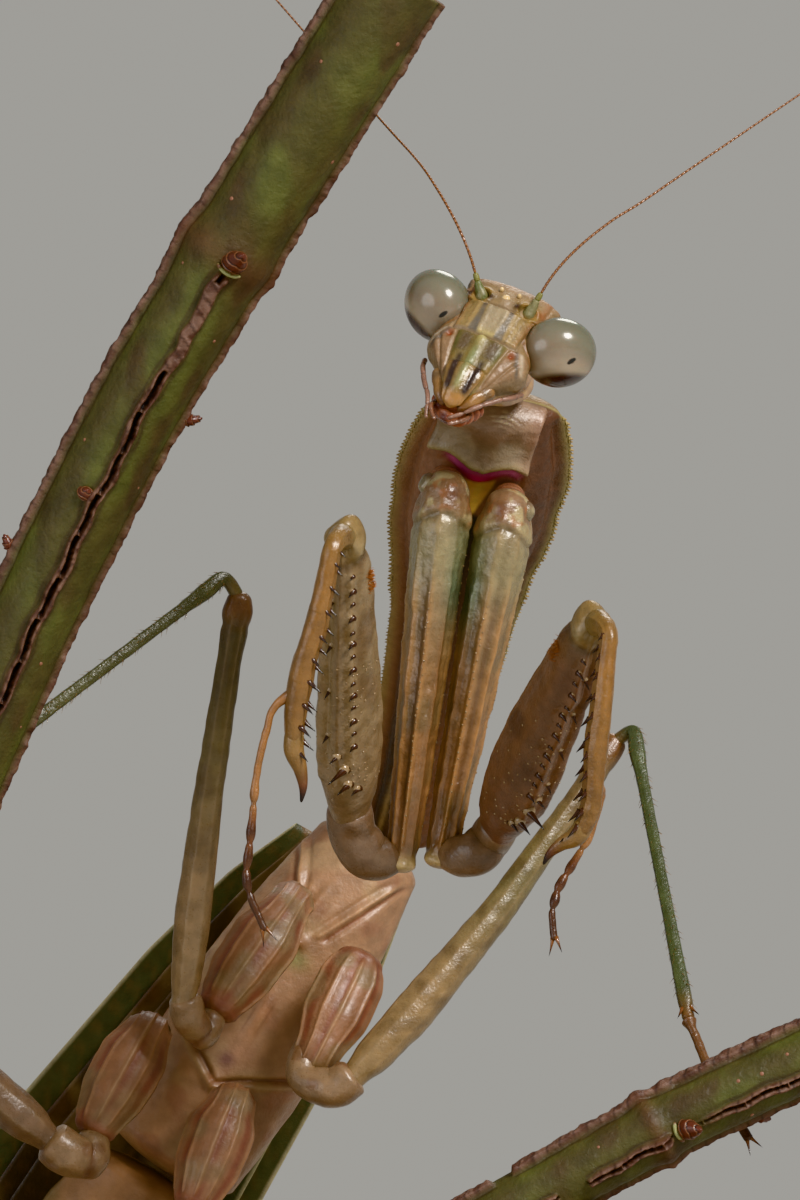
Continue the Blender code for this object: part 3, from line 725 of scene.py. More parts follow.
def ring_tree():
    """Short flared segments threaded one after another along a line, as in a feeler."""
    tree, given, result = geometry_tree(
        "Feeler Rings",
        [
            ("Float", "Root Radius", 0.0001),
            ("Float", "End Radius", 0.00006),
            ("Float", "Segment", 0.00022),
            ("Material", "Material", None),
        ],
    )
    curve = add_node(tree, "GeometryNodeMeshToCurve", {"Mesh": given["Geometry"]}).outputs[0]
    even = add_node(
        tree, "GeometryNodeResampleCurve", {"Curve": curve, "Length": given["Segment"]}, mode="LENGTH"
    )
    share = tree.nodes.new("GeometryNodeSplineParameter").outputs["Factor"]
    radius = add_node(
        tree, "ShaderNodeMapRange", {"Value": share, 3: given["Root Radius"], 4: given["End Radius"]}
    ).outputs[0]
    held = add_node(
        tree, "GeometryNodeStoreNamedAttribute", {
            "Geometry": even.outputs[0], "Name": "girth", "Value": radius
        }
    )
    points = add_node(tree, "GeometryNodeCurveToPoints", {"Curve": held.outputs[0]}, mode="EVALUATED")
    cone = add_node(
        tree,
        "GeometryNodeMeshCone",
        {"Vertices": 10, "Side Segments": 3, "Radius Top": 1.0, "Radius Bottom": 0.78, "Depth": 1.1},
    )
    height = add_node(
        tree, "ShaderNodeSeparateXYZ", {"Vector": tree.nodes.new("GeometryNodeInputPosition").outputs[0]}
    ).outputs["Z"]
    marked = add_node(
        tree, "GeometryNodeStoreNamedAttribute", {
            "Geometry": cone.outputs["Mesh"], "Name": "tip", "Value": height
        }
    )
    places, turns = points.outputs["Points"], points.outputs["Rotation"]
    repeat_on(tree, given, result, places, marked.outputs[0], turns, given["Segment"])
    return tree


def run_tree(name, tree, host, **inputs):
    """Runs a tree on a host object, keeps the result as a plain mesh object and drops the host."""
    modifier = host.modifiers.new("repeat", "NODES")
    modifier.node_group = tree
    for item in tree.interface.items_tree:
        key = item.name.replace(" ", "_")
        if item.in_out == "INPUT" and key in inputs:
            modifier[item.identifier] = inputs[key]
    view = bpy.context.evaluated_depsgraph_get()
    mesh = bpy.data.meshes.new_from_object(host.evaluated_get(view), depsgraph=view)
    mesh.name = name
    bpy.data.objects.remove(host)
    mesh.shade_smooth()
    piece = bpy.data.objects.new(name, mesh)
    bpy.context.scene.collection.objects.link(piece)
    return piece


def plant(name, tree, growths, **inputs):
    """Grows one piece per entry of (root, aim, girth, reach, lean), in millimetres."""
    roots, aims, girths, reaches, leans = (np.array(values, float) for values in zip(*growths))
    mesh = bpy.data.meshes.new("roots")
    mesh.from_pydata((roots * MM).tolist(), [], [])
    for label, values in (("aim", unit(aims)), ("lean", unit(leans))):
        mesh.attributes.new(label, "FLOAT_VECTOR", "POINT").data.foreach_set("vector", values.ravel())
    for label, values in (("girth", girths), ("reach", reaches)):
        mesh.attributes.new(label, "FLOAT", "POINT").data.foreach_set("value", values * MM)
    host = bpy.data.objects.new("roots", mesh)
    bpy.context.scene.collection.objects.link(host)
    return run_tree(name, tree, host, **inputs)


def grow(name, tree, growths, finish, slot, **inputs):
    """Plants pieces of one kind and settles them together in a finish; the slot is not used."""
    piece = plant(name, TREES[tree], growths, Material=FINISH[finish], **inputs)
    settle(piece, FINISH[finish])


def thread(name, tree, centres, **inputs):
    """Runs a tree along a line of points in millimetres."""
    mesh = bpy.data.meshes.new("line")
    mesh.from_pydata((np.asarray(centres) * MM).tolist(), [(i, i + 1) for i in range(len(centres) - 1)], [])
    host = bpy.data.objects.new("line", mesh)
    bpy.context.scene.collection.objects.link(host)
    return run_tree(name, tree, host, **inputs)


# Head ---------------------------------------------------------------------------------------


class HeadAxes:
    """The head's own axes: x to its left, y to its back and z up, from its middle between the eyes."""

    MOUTH_SLANT = math.radians(15.1)
    EYES_BELOW = 0.25
    EYES_AHEAD = 0.05

    def __init__(self):
        left, right = solid("eye_left")[0].mean(0), solid("eye_right")[0].mean(0)
        middle = (left + right) / 2
        x = unit(left - right)
        up = middle - solid("mouthparts")[0].mean(0)
        up = unit(up - (up @ x) * x)
        level = np.cross(up, x)
        slant = self.MOUTH_SLANT
        z = up * math.cos(slant) - level * math.sin(slant)
        y = up * math.sin(slant) + level * math.cos(slant)
        self.axes = np.array((x, y, z))
        self.origin = middle + y * self.EYES_AHEAD + z * self.EYES_BELOW

    def out(self, local):
        """Points of the head's axes in the model's own, in millimetres."""
        return np.asarray(local, float) @ self.axes + self.origin

    def turn(self, direction):
        """A direction of the head's axes in the model's own."""
        return np.asarray(direction, float) @ self.axes


def box_edge(x, z, half_width, low, high):
    """Signed distance to a rectangle's edge, below zero inside."""
    return np.maximum(np.abs(x) - half_width, np.maximum(low - z, z - high))


SHIELD_LOW, SHIELD_HIGH = -1.74, -0.1
EYE_CENTRE = (2.93, -0.3, -0.48)
EYE_RADII = (1.64, 1.7, 1.36)
EYE_TURN = math.radians(27)
EYE_TILT = math.radians(-38)
SOCKET = (1.08, -1.0, 0.32)


def head_levels():
    """Height, half width, front and back of the head, from the crown down to the mouth."""
    return np.array(
        [
            (1.62, 1.8, -0.4, 0.8), (1.5, 2.1, -0.7, 1.05), (1.2, 2.2, -0.98, 1.3), (0.8, 2.15, -1.2, 1.5),
            (0.3, 2.0, -1.45, 1.7), (-0.3, 1.88, -1.7, 1.7), (-1.0, 1.84, -1.92, 1.5),
            (-1.7, 2.0, -2.04, 1.0),
            (-2.3, 2.3, -2.12, 0.45), (-2.9, 2.24, -2.16, -0.05), (-3.45, 1.72, -2.18, -0.45),
            (-4.0, 1.2, -2.16, -0.8), (-4.5, 0.84, -2.08, -1.05), (-4.9, 0.56, -1.98, -1.2),
        ]
    )


def sculpt_head(skin, x, z, front):
    """Raises the frontal shield, clypeus and brows, and sinks the sockets, pits and grooves."""
    sideways = np.abs(x)
    shield = box_edge(x, z, 1.5, SHIELD_LOW, SHIELD_HIGH)
    height = 0.09 * ramp(-shield, -0.02, 0.12) - 0.07 * bump(shield, 0.05, 0.06)
    height += 0.035 * (bump(sideways, 0.36, 0.1) + bump(sideways, 0.95, 0.12)) * ramp(-shield, 0, 0.1)
    clypeus_width = 1.22 + 0.16 * (z + 1.8)
    below = ramp(-z, 1.74, 1.95) * ramp(z, -4.3, -3.9)
    clypeus = sideways - clypeus_width
    height += below * (0.1 * ramp(-clypeus, 0, 0.3) - 0.09 * bump(clypeus, 0.04, 0.08))
    height += below * 0.15 * bump(x, 0, 0.2)
    height -= 0.08 * bump(z, -3.5, 0.06) * ramp(-clypeus, 0, 0.1)
    height -= 0.06 * bump(z, -2.85, 0.05) * ramp(-clypeus, 0, 0.1) * ramp(sideways, 0.15, 0.3) * 0.4
    height -= 0.16 * bump(np.hypot(sideways - 1.5, z + 2.12), 0, 0.16)
    socket = np.hypot(sideways - SOCKET[0], z - SOCKET[2])
    height += 0.1 * bump(socket, 0.46, 0.1) - 0.25 * ramp(-socket, -0.42, -0.2)
    height += 0.12 * bump(np.hypot(x, (z - 0.5) * 0.8), 0, 0.3)
    height -= 0.05 * bump(sideways, 1.75 + 0.1 * z, 0.08) * ramp(z, 0.2, 0.7)
    cheek_line = sideways - (1.55 - 0.42 * (-2.2 - z))
    cheek = ramp(-z, 2.2, 2.5)
    height -= 0.07 * cheek * bump(cheek_line, 0.35, 0.07)
    height += 0.06 * cheek * bump(cheek_line, 0.55, 0.12)
    height -= 0.05 * bump(z + 0.35 * (sideways - 1.5), -2.35, 0.07) * ramp(sideways, 1.6, 1.8)
    height = height * front + 0.03 * skin.lumps(0.45) + 0.012 * skin.lumps(0.16)
    skin.raise_by(height)


def paint_head(skin, x, y, z, front):
    """Tan shell with two slate stripes down the shield, dark clypeus sides and a green ridge."""
    sideways = np.abs(x)
    coat = plain_coat(x, 152, 128, 100)
    cloud = 0.5 + 0.5 * skin.lumps(0.7)
    coat.wash(148, 122, 84, cloud)
    coat.wash(166, 134, 108, ramp(z, 0.9, 1.5) * 0.7)
    coat.wash(150, 98, 58, bump(sideways, 1.72, 0.16) * ramp(z, -0.2, 0.5) * 0.6)
    shield = ramp(-box_edge(x, z, 1.46, SHIELD_LOW, SHIELD_HIGH), 0, 0.08) * front
    coat.wash(158, 132, 86, shield)
    coat.wash(160, 142, 112, shield * ramp(-sideways, -0.5, -0.38))
    lines = bump(sideways, 0.95, 0.05) + bump(sideways, 1.18, 0.04)
    coat.wash(104, 84, 58, shield * np.clip(lines, 0, 1) * (0.35 + 0.3 * rough(skin.points * 3, 0.5)))
    coat.wash(186, 166, 110, shield * bump(z, SHIELD_LOW, 0.25) * ramp(-sideways, -0.5, -0.3))
    coat.wash(150, 112, 74, shield * bump(sideways, 1.4, 0.14) * 0.7)
    grow_down = np.clip((SHIELD_HIGH - z) / 1.6, 0, 1)
    edge = 0.03 * skin.lumps(0.3)
    stripe = ramp(
        -np.abs(sideways - 0.6) + edge, -(0.14 + 0.13 * grow_down), -(0.02 + 0.1 * grow_down)
    ) * shield
    coat.wash(96, 92, 88, stripe * (0.75 + 0.2 * grow_down) * (0.85 + 0.15 * skin.lumps(0.25)))
    coat.wash(76, 60, 46, stripe * ramp(z, -0.45, -0.15) * 0.8)
    lower = ramp(-z, 1.74, 1.84) * front
    clypeus = ramp(-(sideways - (1.22 + 0.16 * (z + 1.8))), -0.02, 0.1) * lower
    coat.wash(134, 116, 66, clypeus)
    blotch = clypeus * bump(sideways, 0.66, 0.36) * bump(z, -2.4, 0.62)
    coat.wash(96, 78, 54, np.clip(blotch * 1.3, 0, 1))
    coat.wash(100, 98, 56, clypeus * bump(sideways, 1.02, 0.16) * bump(z, -2.5, 0.5) * 0.8)
    ridge = ramp(-sideways, -0.24, -0.08) * lower
    coat.wash(178, 164, 106, ridge * ramp(z, -2.7, -1.9))
    coat.wash(136, 138, 92, ridge * ramp(-z, 2.1, 3.0))
    coat.wash(72, 58, 46, clypeus * bump(sideways, 0.5, 0.17) * ramp(-z, 2.9, 3.2))
    coat.wash(152, 118, 68, clypeus * bump(sideways, 0.95, 0.2) * ramp(-z, 3.0, 3.4))
    cheek = ramp(sideways - (1.3 + 0.2 * (z + 1.8)), 0, 0.12) * lower
    coat.wash(146, 116, 86, cheek)
    wave = sideways + 0.42 * (z + 2.2)
    coat.wash(184, 166, 142, cheek * bump(wave, 1.98, 0.1))
    coat.wash(112, 98, 84, cheek * bump(wave, 1.75, 0.1))
    coat.wash(178, 134, 78, cheek * bump(wave, 2.25, 0.16) * ramp(-z, 2.2, 3.0))
    coat.wash(120, 106, 92, cheek * bump(wave, 2.62, 0.08) * 0.6)
    pit = bump(np.hypot(sideways - 1.5, (z + 2.12) * 0.7), 0, 0.15)
    coat.wash(148, 74, 36, pit * front)
    socket = np.hypot(sideways - SOCKET[0], z - SOCKET[2])
    coat.wash(150, 120, 66, bump(socket, 0.42, 0.16) * front)
    coat.wash(160, 100, 60, bump(np.hypot(sideways - 1.6, z - 0.55), 0, 0.22) * front * 0.8)
    mark = bump(np.hypot(sideways - 0.62, (z - 0.28) * 0.7), 0, 0.16)
    coat.wash(52, 30, 22, mark * front)
    coat.wash(112, 84, 58, (1 - front) * ramp(y, 0.2, 1.2) * 0.7)
    return coat


def eye_frame():
    """The matrix that makes the left eye out of a ball of radius one: tilted outwards at its top."""
    turn = (
        (math.cos(EYE_TURN), math.sin(EYE_TURN), 0), (-math.sin(EYE_TURN), math.cos(EYE_TURN), 0),
        (0, 0, 1),
    )
    tilt = (
        (math.cos(EYE_TILT), 0, math.sin(EYE_TILT)), (0, 1, 0),
        (-math.sin(EYE_TILT), 0, math.cos(EYE_TILT)),
    )
    return np.array(turn) @ np.array(tilt) @ np.diag(EYE_RADII)


def eye_shape(side, head):
    """The skin of one compound eye and its colours."""
    skin = Skin(
        [(step, 0, 0) for step in (-1, -0.5, 0, 0.5, 1)], [(1, 1)] * 5, FRONT, 190, 230, 2.0, (1, 1)
    )
    place = skin.points @ eye_frame().T
    outwards, back, up = (place[..., i] for i in range(3))
    inner = np.clip(-outwards / 1.6, 0, 1) * np.clip(up / 1.5, 0, 1)
    place = place + inner[..., None] * (-0.1, 0, 0.08)
    skin.points = head.out((place + EYE_CENTRE) * (side, 1, 1))
    outwards, back, up = outwards / 1.6, back / 1.7, up / 1.5
    coat = plain_coat(outwards, 130, 124, 106)
    coat.wash(110, 110, 90, ramp(up, 0.1, 0.7))
    coat.wash(146, 128, 108, ramp(-up, -0.2, 0.4) * 0.8)
    low = -0.86 * up + 0.42 * outwards + 0.1 * back
    coat.wash(188, 170, 146, ramp(low, 0.3, 0.72) * 0.9)
    rim = -0.82 * up + 0.45 * outwards + 0.34 * back
    coat.wash(58, 30, 28, ramp(rim, 0.6, 0.78))
    coat.wash(96, 78, 60, ramp(back, 0.5, 0.9) * ramp(-up, -0.7, 0.2) * 0.6)
    reach = skin.points.reshape(-1, 3)
    middle = (reach.max(0) + reach.min(0)) / 2 + np.array(PUPIL_PLACE[side])
    away = skin.points - middle
    long = 0.83 * away[..., 0] + 0.55 * away[..., 2]
    short = 0.55 * away[..., 0] - 0.83 * away[..., 2]
    spot = np.hypot(long / 0.22, short / 0.095) + 9 * (away[..., 1] > 0)
    coat.wash(10, 8, 8, ramp(-spot, -1.15, -0.85))
    return skin, coat


PUPIL_PLACE = {1: (0.53, 0.0, -0.41), -1: (0.23, 0.0, -0.42)}


def palp_line(side, head, local):
    """A line drawn for the left side in the head's axes, for either side of the model."""
    return head.out([(side * x, y, z) for x, y, z in local])


def jointed(centres, radii, joints, facing, tint, rows=90, columns=20):
    """A thin limb of several segments, each a little waisted at its ends."""
    sizes = np.repeat(np.asarray(radii, float)[:, None], 2, axis=1)
    skin = Skin(centres, sizes, facing, rows, columns, rounding=(0.05, 0.12))
    waist = np.zeros(skin.share.shape)
    for joint in joints:
        waist += bump(skin.share, joint, 0.012)
    skin.raise_by(-0.3 * np.mean(radii) * waist + 0.02 * skin.lumps(0.3))
    coat = Coat(np.broadcast_to(tint, skin.share.shape + (3,)))
    coat.lay(tint * 0.4, np.clip(waist, 0, 1) * 0.8)
    coat.lay(tint * 1.25, (skin.lumps(0.5) * 0.5 + 0.5) * 0.6)
    return skin, coat


def build_head_pieces():
    """The capsule, the compound eyes, the three ocelli and the mouth."""
    head = HeadAxes()
    levels = head_levels()
    centres = head.out([(0, (front + back) / 2, z) for z, _, front, back in levels])
    sizes = [(width, (back - front) / 2) for _, width, front, back in levels]
    skin = Skin(
        centres, sizes, head.turn(FRONT), 250, 280, lambda share: 2.3 + 0.7 * ramp(share, 0.5, 0.8),
        (0.35, 0.3),
    )
    local = (skin.points - head.origin) @ head.axes.T
    x, y, z = local[..., 0], local[..., 1], local[..., 2]
    front = ramp(np.cos(skin.angle), 0.05, 0.45)
    sculpt_head(skin, x, z, front)
    gap = np.stack((np.abs(x), y, z), -1) - EYE_CENTRE
    gap = gap @ np.linalg.inv(eye_frame()).T
    near_eye = np.linalg.norm(gap, axis=-1)
    skin.raise_by(0.1 * bump(near_eye, 1.05, 0.05))
    coat = paint_head(skin, x, y, z, front)
    coat.wash(128, 84, 48, bump(near_eye, 1.09, 0.045) * 0.7)
    skin.finish("head_capsule", coat, "head", "head_and_shield", "head")
    for name, side in SIDES.items():
        skin, coat = eye_shape(side, head)
        skin.finish("compound_eye_" + name, coat, "eye", "eye", "eye_" + name)
    beads = []
    for at, girth in (((0, -1.5, 0.5), 0.19), ((0.42, -1.22, 0.95), 0.1), ((-0.42, -1.22, 0.95), 0.1)):
        beads.append((head.out(at), head.turn((0, -1, 0.35)), girth, 0.14, head.turn((0, 0, 1))))
    grow("ocelli", "beads", beads, "ocellus", "eye", Detail=3)
    build_mouth(head)
    return head


def build_mouth(head):
    """Upper lip, jaws and the wet lower lip."""
    facing = head.turn(FRONT)
    line = [
        (0, -2.12, -3.35), (0, -2.2, -3.7), (0, -2.2, -4.3), (0, -2.12, -4.8), (0, -1.95, -5.25),
        (0, -1.8, -5.45),
    ]
    widths = [(0.8, 0.22), (0.86, 0.26), (0.74, 0.26), (0.6, 0.24), (0.42, 0.2), (0.25, 0.15)]
    lip = Skin(head.out(line), widths, facing, 110, 90, 2.2, (0.2, 0.35))
    local = (lip.points - head.origin) @ head.axes.T
    x, z = local[..., 0], local[..., 2]
    front = ramp(np.cos(lip.angle), 0.0, 0.5)
    ridge = bump(x, 0, 0.15) * ramp(z, -5.0, -4.6)
    lip.raise_by((0.1 * ridge - 0.05 * bump(np.abs(x), 0.42, 0.1)) * front + 0.015 * lip.lumps(0.15))
    coat = plain_coat(x, 150, 116, 68)
    coat.wash(176, 128, 72, ramp(-z, 4.6, 5.2))
    coat.wash(146, 142, 98, bump(x, 0, 0.2) * ramp(z, -5.0, -4.4))
    dark = bump(np.abs(x), 0.45 + 0.1 * (z + 4.4), 0.15) * ramp(z, -5.0, -4.6)
    coat.wash(62, 46, 40, np.clip(dark * 1.4, 0, 1) * front)
    lip.finish("labrum", coat, "wet", "head_and_shield", "mouthparts")
    for name, side in SIDES.items():
        jaw = [
            (1.3, -1.2, -3.7), (1.1, -1.35, -4.05), (0.88, -1.5, -4.45), (0.64, -1.58, -4.9),
            (0.34, -1.55, -5.35),
        ]
        sizes = [(0.3, 0.35), (0.36, 0.42), (0.36, 0.42), (0.3, 0.34), (0.15, 0.2)]
        skin = Skin(palp_line(side, head, jaw), sizes, facing, 70, 48, 2.0, (0.3, 0.25))
        skin.raise_by(0.03 * skin.lumps(0.3))
        coat = plain_coat(skin.share, 158, 116, 68)
        coat.wash(104, 58, 34, ramp(skin.share, 0.6, 1.0) * 0.7)
        coat.wash(96, 84, 72, bump(skin.share, 0.3, 0.15) * 0.6)
        skin.finish("mandible_" + name, coat, "wet", "head_and_shield")
    line = [(0, -0.2, -4.2), (0, -0.6, -4.7), (0, -0.95, -5.2), (0, -1.2, -5.6), (0, -1.35, -5.85)]
    widths = [(1.1, 0.5), (1.15, 0.5), (0.95, 0.45), (0.7, 0.36), (0.4, 0.2)]
    lower = Skin(head.out(line), widths, facing, 80, 80, 2.2, (0.3, 0.3))
    folds = np.sin(lower.share * 34 + 2 * np.cos(lower.angle))
    lower.raise_by(0.04 * folds + 0.05 * lower.lumps(0.35))
    coat = plain_coat(lower.share, 150, 78, 48)
    # Painted highlight on the crests of the folds.
    coat.wash(196, 120, 84, ramp(folds, 0.1, 0.9))
    coat.wash(92, 30, 24, ramp(lower.lumps(0.5), 0.1, 0.5))
    lower.finish("labium", coat, "wet", "head_and_shield")


PALP_PATHS = {
    "left": [
        (2.3, -0.3, -3.0), (2.2, -0.9, -3.5), (1.75, -1.4, -4.1), (1.2, -1.7, -4.8), (0.6, -1.75, -5.5),
        (0.15, -1.8, -5.95),
    ],
    "right": [
        (2.3, -0.3, -3.1), (2.15, -0.8, -3.6), (1.7, -1.2, -4.4), (1.2, -1.45, -5.1), (0.95, -1.55, -5.7),
        (0.75, -1.6, -6.2),
    ],
}


def build_palps(head):
    """The jointed feelers of the mouth, longer outside and shorter inside."""
    facing = head.turn(FRONT)
    for name, side in SIDES.items():
        centres = palp_line(side, head, PALP_PATHS[name])
        radii = [0.11, 0.12, 0.11, 0.11, 0.1, 0.08]
        skin, coat = jointed(
            centres, radii, (0.17, 0.36, 0.6, 0.82), facing, ink(140, 106, 90), 140, 24
        )
        coat.wash(120, 74, 50, ramp(-np.cos(skin.angle), 0.2, 1.0) * 0.6)
        skin.finish("maxillary_palp_" + name, coat, "leg", "head_and_shield", "palp_" + name)
        short = [
            (side * 0.75, -0.9, -4.9), (side * 0.85, -1.5, -5.5), (side * 0.55, -1.8, -6.0),
            (side * 0.3, -1.9, -6.25),
        ]
        skin, coat = jointed(
            head.out(short), [0.11, 0.11, 0.1, 0.08], (0.35, 0.7), facing, ink(132, 92, 72)
        )
        skin.finish("labial_palp_" + name, coat, "wet", "head_and_shield")


def build_antennae(head, settings):
    """Green scape and pedicel, then a long thread of short rings."""
    for name, side in SIDES.items():
        node = "antenna_" + name
        centres, _ = limb_line(node, centre_of("head"), count=12, thin=0.15)
        socket = head.out((side * SOCKET[0], SOCKET[1] + 0.05, SOCKET[2]))
        shaft = unit(unit(centres[2] - socket) + head.turn((0, -0.25, 0.1)))
        points = [socket - shaft * 0.25, socket + shaft * 0.1, socket + shaft * 0.45, socket + shaft * 0.85]
        skin = Skin(
            points, [(0.26, 0.26), (0.29, 0.29), (0.21, 0.21), (0.14, 0.14)], FRONT, 60, 32, 2.0,
            (0.1, 0.08),
        )
        skin.raise_by(0.02 * skin.lumps(0.2))
        coat = plain_coat(skin.share, 136, 130, 92)
        coat.wash(108, 112, 66, ramp(skin.lumps(0.3), 0, 0.6))
        coat.wash(160, 110, 62, ramp(-skin.share, -0.3, 0))
        skin.finish("scape_" + name, coat, "head", "feeler_and_foot", node)
        top = socket + shaft * 0.8
        knob = Skin(
            [top, top + shaft * 0.2, top + shaft * 0.4], [(0.12, 0.12), (0.135, 0.135), (0.1, 0.1)],
            FRONT, 30, 24, 2.0, (0.06, 0.06),
        )
        coat = plain_coat(knob.share, 132, 128, 70)
        knob.finish("pedicel_" + name, coat, "head", "feeler_and_foot")
        start = top + shaft * 0.4
        rest = centres[3:]
        line = np.vstack((start, start + shaft * 0.35, rest))
        steps = np.concatenate(([0], np.cumsum(np.linalg.norm(np.diff(line, axis=0), axis=1))))
        even = follow(steps / steps[-1], line, np.linspace(0, 1, 90))
        rings = thread(
            "flagellum_" + name,
            TREES["rings"],
            even,
            Root_Radius=settings.feeler_radius,
            End_Radius=settings.feeler_radius * 0.62,
            Segment=settings.feeler_ring,
            Material=FINISH["feeler"],
        )
        settle(rings, FINISH["feeler"])


# Trunk --------------------------------------------------------------------------------------


def body_skin(
    node, near, facing, rows, columns, power=2.0, rounding=(0.6, 0.6), count=14, grow=(0, 0), swell=1.0,
    hinge=None,
):
    """A skin on a node's own sections, begun at a hinge point or grown past its ends."""
    centres, sizes = limb_line(node, near, facing, count)
    sizes = np.maximum(sizes, sizes.max(0) * (0.55 if max(grow) > 0 else 0.0)) * swell
    if hinge is not None or grow[0]:
        first = hinge if hinge is not None else centres[0] + unit(centres[0] - centres[1]) * grow[0]
        centres = np.vstack((first, centres))
        sizes = np.vstack((sizes[0], sizes))
    if grow[1]:
        centres = np.vstack((centres, centres[-1] + unit(centres[-1] - centres[-2]) * grow[1]))
        sizes = np.vstack((sizes, sizes[-1]))
    return Skin(centres, sizes, facing, rows, columns, power, rounding)


def build_neck():
    """The pleated neck, hinged into the back of the head."""
    nape = HeadAxes().out((0, 0.3, -0.5))
    skin = body_skin(
        "neck", centre_of("head"), (0, -0.7, -0.7), 130, 90, rounding=(0.4, 0.4), swell=1.05, hinge=nape
    )
    folds = np.sin(skin.share * 30 + 1.5 * np.sin(skin.angle * 2))
    skin.raise_by(0.08 * folds + 0.07 * skin.lumps(0.5))
    coat = plain_coat(skin.share, 168, 138, 112)
    # Painted shade in the troughs of the folds.
    coat.wash(112, 66, 46, ramp(-folds, 0.3, 1.0) * 0.8)
    coat.wash(196, 160, 110, ramp(skin.lumps(0.6), 0.2, 0.6) * 0.6)
    skin.finish("neck_folds", coat, "wet", "underside", "neck")


MARGIN = 1.62


def breast_axes():
    """The middle between the grasping legs' roots, and the directions to its left and up the breast."""
    left, right = (limb_line("forecoxa_" + name, centre_of("neck"))[0][0] for name in SIDES)
    across = unit((left - right) * (1, 0, 1))
    return (left + right) / 2, across, unit(np.cross(across, (0, 1, 0)))


def bib_edge(sideways):
    """Height of the bib's scalloped lower edge above the legs' roots."""
    places = (0, 0.3, 0.6, 1.0, 1.5, 1.9, 2.35, 2.6)
    return follow(
        places, np.array((1.14, 1.17, 1.3, 1.5, 1.64, 1.6, 1.7, 1.95)),
        np.clip(np.abs(sideways + 0.25), 0, 2.59),
    )


def sculpt_shield(skin, belly):
    """A raised margin with a groove inside it on each side, a waist and a low keel behind it."""
    share, turned = skin.share, np.abs(skin.angle)
    body = ramp(share, 0.02, 0.05) * ramp(-share, -0.985, -0.95)
    skin.raise_by(0.3 * bump(turned, MARGIN, 0.13) * body)
    skin.raise_by(-0.34 * bump(turned, 1.25, 0.2) * body)
    waist = bump(share, 0.245, 0.035) * (1 - belly)
    keel = bump(turned, math.pi, 0.12) * ramp(share, 0.28, 0.4)
    skin.raise_by(-0.16 * waist + 0.1 * keel)


def paint_shield(skin):
    """Mottled brown above, darker along the keel and below, with pale margins; the underside carries
    painted shade on one side and painted light on the other.
    """
    angle, turned = skin.angle, np.abs(skin.angle)
    coat = plain_coat(skin.share, 146, 116, 76)
    coat.wash(118, 92, 54, (0.5 + 0.5 * skin.lumps(1.6)) * 0.8)
    coat.wash(96, 72, 44, bump(turned, math.pi, 0.1) * 0.7)
    inner = ramp(np.cos(angle), -0.03, 0.1)
    coat.wash(128, 84, 56, inner)
    # Painted shade darkens the underside on one side, and painted light brightens it on the other.
    coat.wash(84, 54, 38, inner * ramp(-angle, 0.25, 0.9) * 0.75)
    coat.wash(158, 116, 90, inner * ramp(angle, 0.4, 1.0) * 0.75)
    coat.wash(112, 74, 50, bump(turned, 1.3, 0.1) * 0.5)
    rim = bump(turned, MARGIN - 0.03, 0.11)
    coat.wash(158, 142, 92, rim)
    # On the lit side the pale margin is painted warmer and lighter as light.
    coat.wash(170, 134, 94, rim * ramp(angle, 0.2, 1.0) * 0.6)
    return coat


def build_prothorax(settings):
    """The long pronotum with its toothed margins, and the bib of the breast below it."""
    facing = (0, -0.7, -0.7)
    skin = body_skin("prothorax", centre_of("head"), facing, 380, 230, 1.75, (0.8, 0.4), 22)
    origin, left, up = breast_axes()
    away = skin.points - origin
    a, b = away @ left + 0.1, away @ up
    belly = ramp(np.cos(skin.angle), 0.05, 0.35)
    sculpt_shield(skin, belly)
    inside = belly * ramp(a, -2.7, -2.45) * ramp(-a, -2.0, -1.8)
    above = b - bib_edge(a)
    bib = inside * ramp(above, -0.04, 0.16)
    relief = 0.28 * bib + 0.12 * inside * bump(above, 0.25, 0.16) - 0.16 * inside * bump(above, 0.95, 0.5)
    relief -= 0.12 * inside * bump(above, -0.5, 0.3)
    relief += (
        0.12 * bib * bump(np.abs(a + 0.3), 2.1, 0.2)
        + 0.07 * bib * bump(a, 0, 0.12) * ramp(-above, -1.2, -0.2)
    )
    folds = bump(a, 0.25, 0.5) * bump(b, 3.75, 0.3) * belly
    waves = np.sin(30 * (b + 0.3 * (a - 0.25) ** 2))
    relief += 0.09 * waves * folds
    relief -= 0.12 * belly * ramp(-b, -0.55, -0.1) * bump(a, 0, 0.5)
    skin.raise_by(relief)
    skin.raise_by(0.05 * skin.lumps(0.7) + 0.02 * skin.lumps(0.22))
    coat = paint_shield(skin)
    coat.wash(156, 136, 110, bib)
    coat.wash(142, 110, 86, bib * ramp(above, 0.9, 1.6) * 0.8)
    coat.wash(122, 96, 76, bib * ramp(-skin.lumps(1.2), 0.05, 0.5) * 0.5)
    coat.wash(166, 146, 106, bib * bump(above, 0.2, 0.16))
    coat.wash(176, 130, 108, bib * ramp(a, 1.0, 2.2) * 0.5)
    # Painted highlight on the crests of the throat's wrinkles.
    coat.wash(196, 176, 140, folds * ramp(waves, 0.2, 0.9))
    paint_blaze(coat, a, b, above, inside, belly)
    skin.finish("prothorax_shield", coat, "shell", "head_and_shield", "prothorax")
    build_pronotum_teeth(skin, unit(facing), settings)


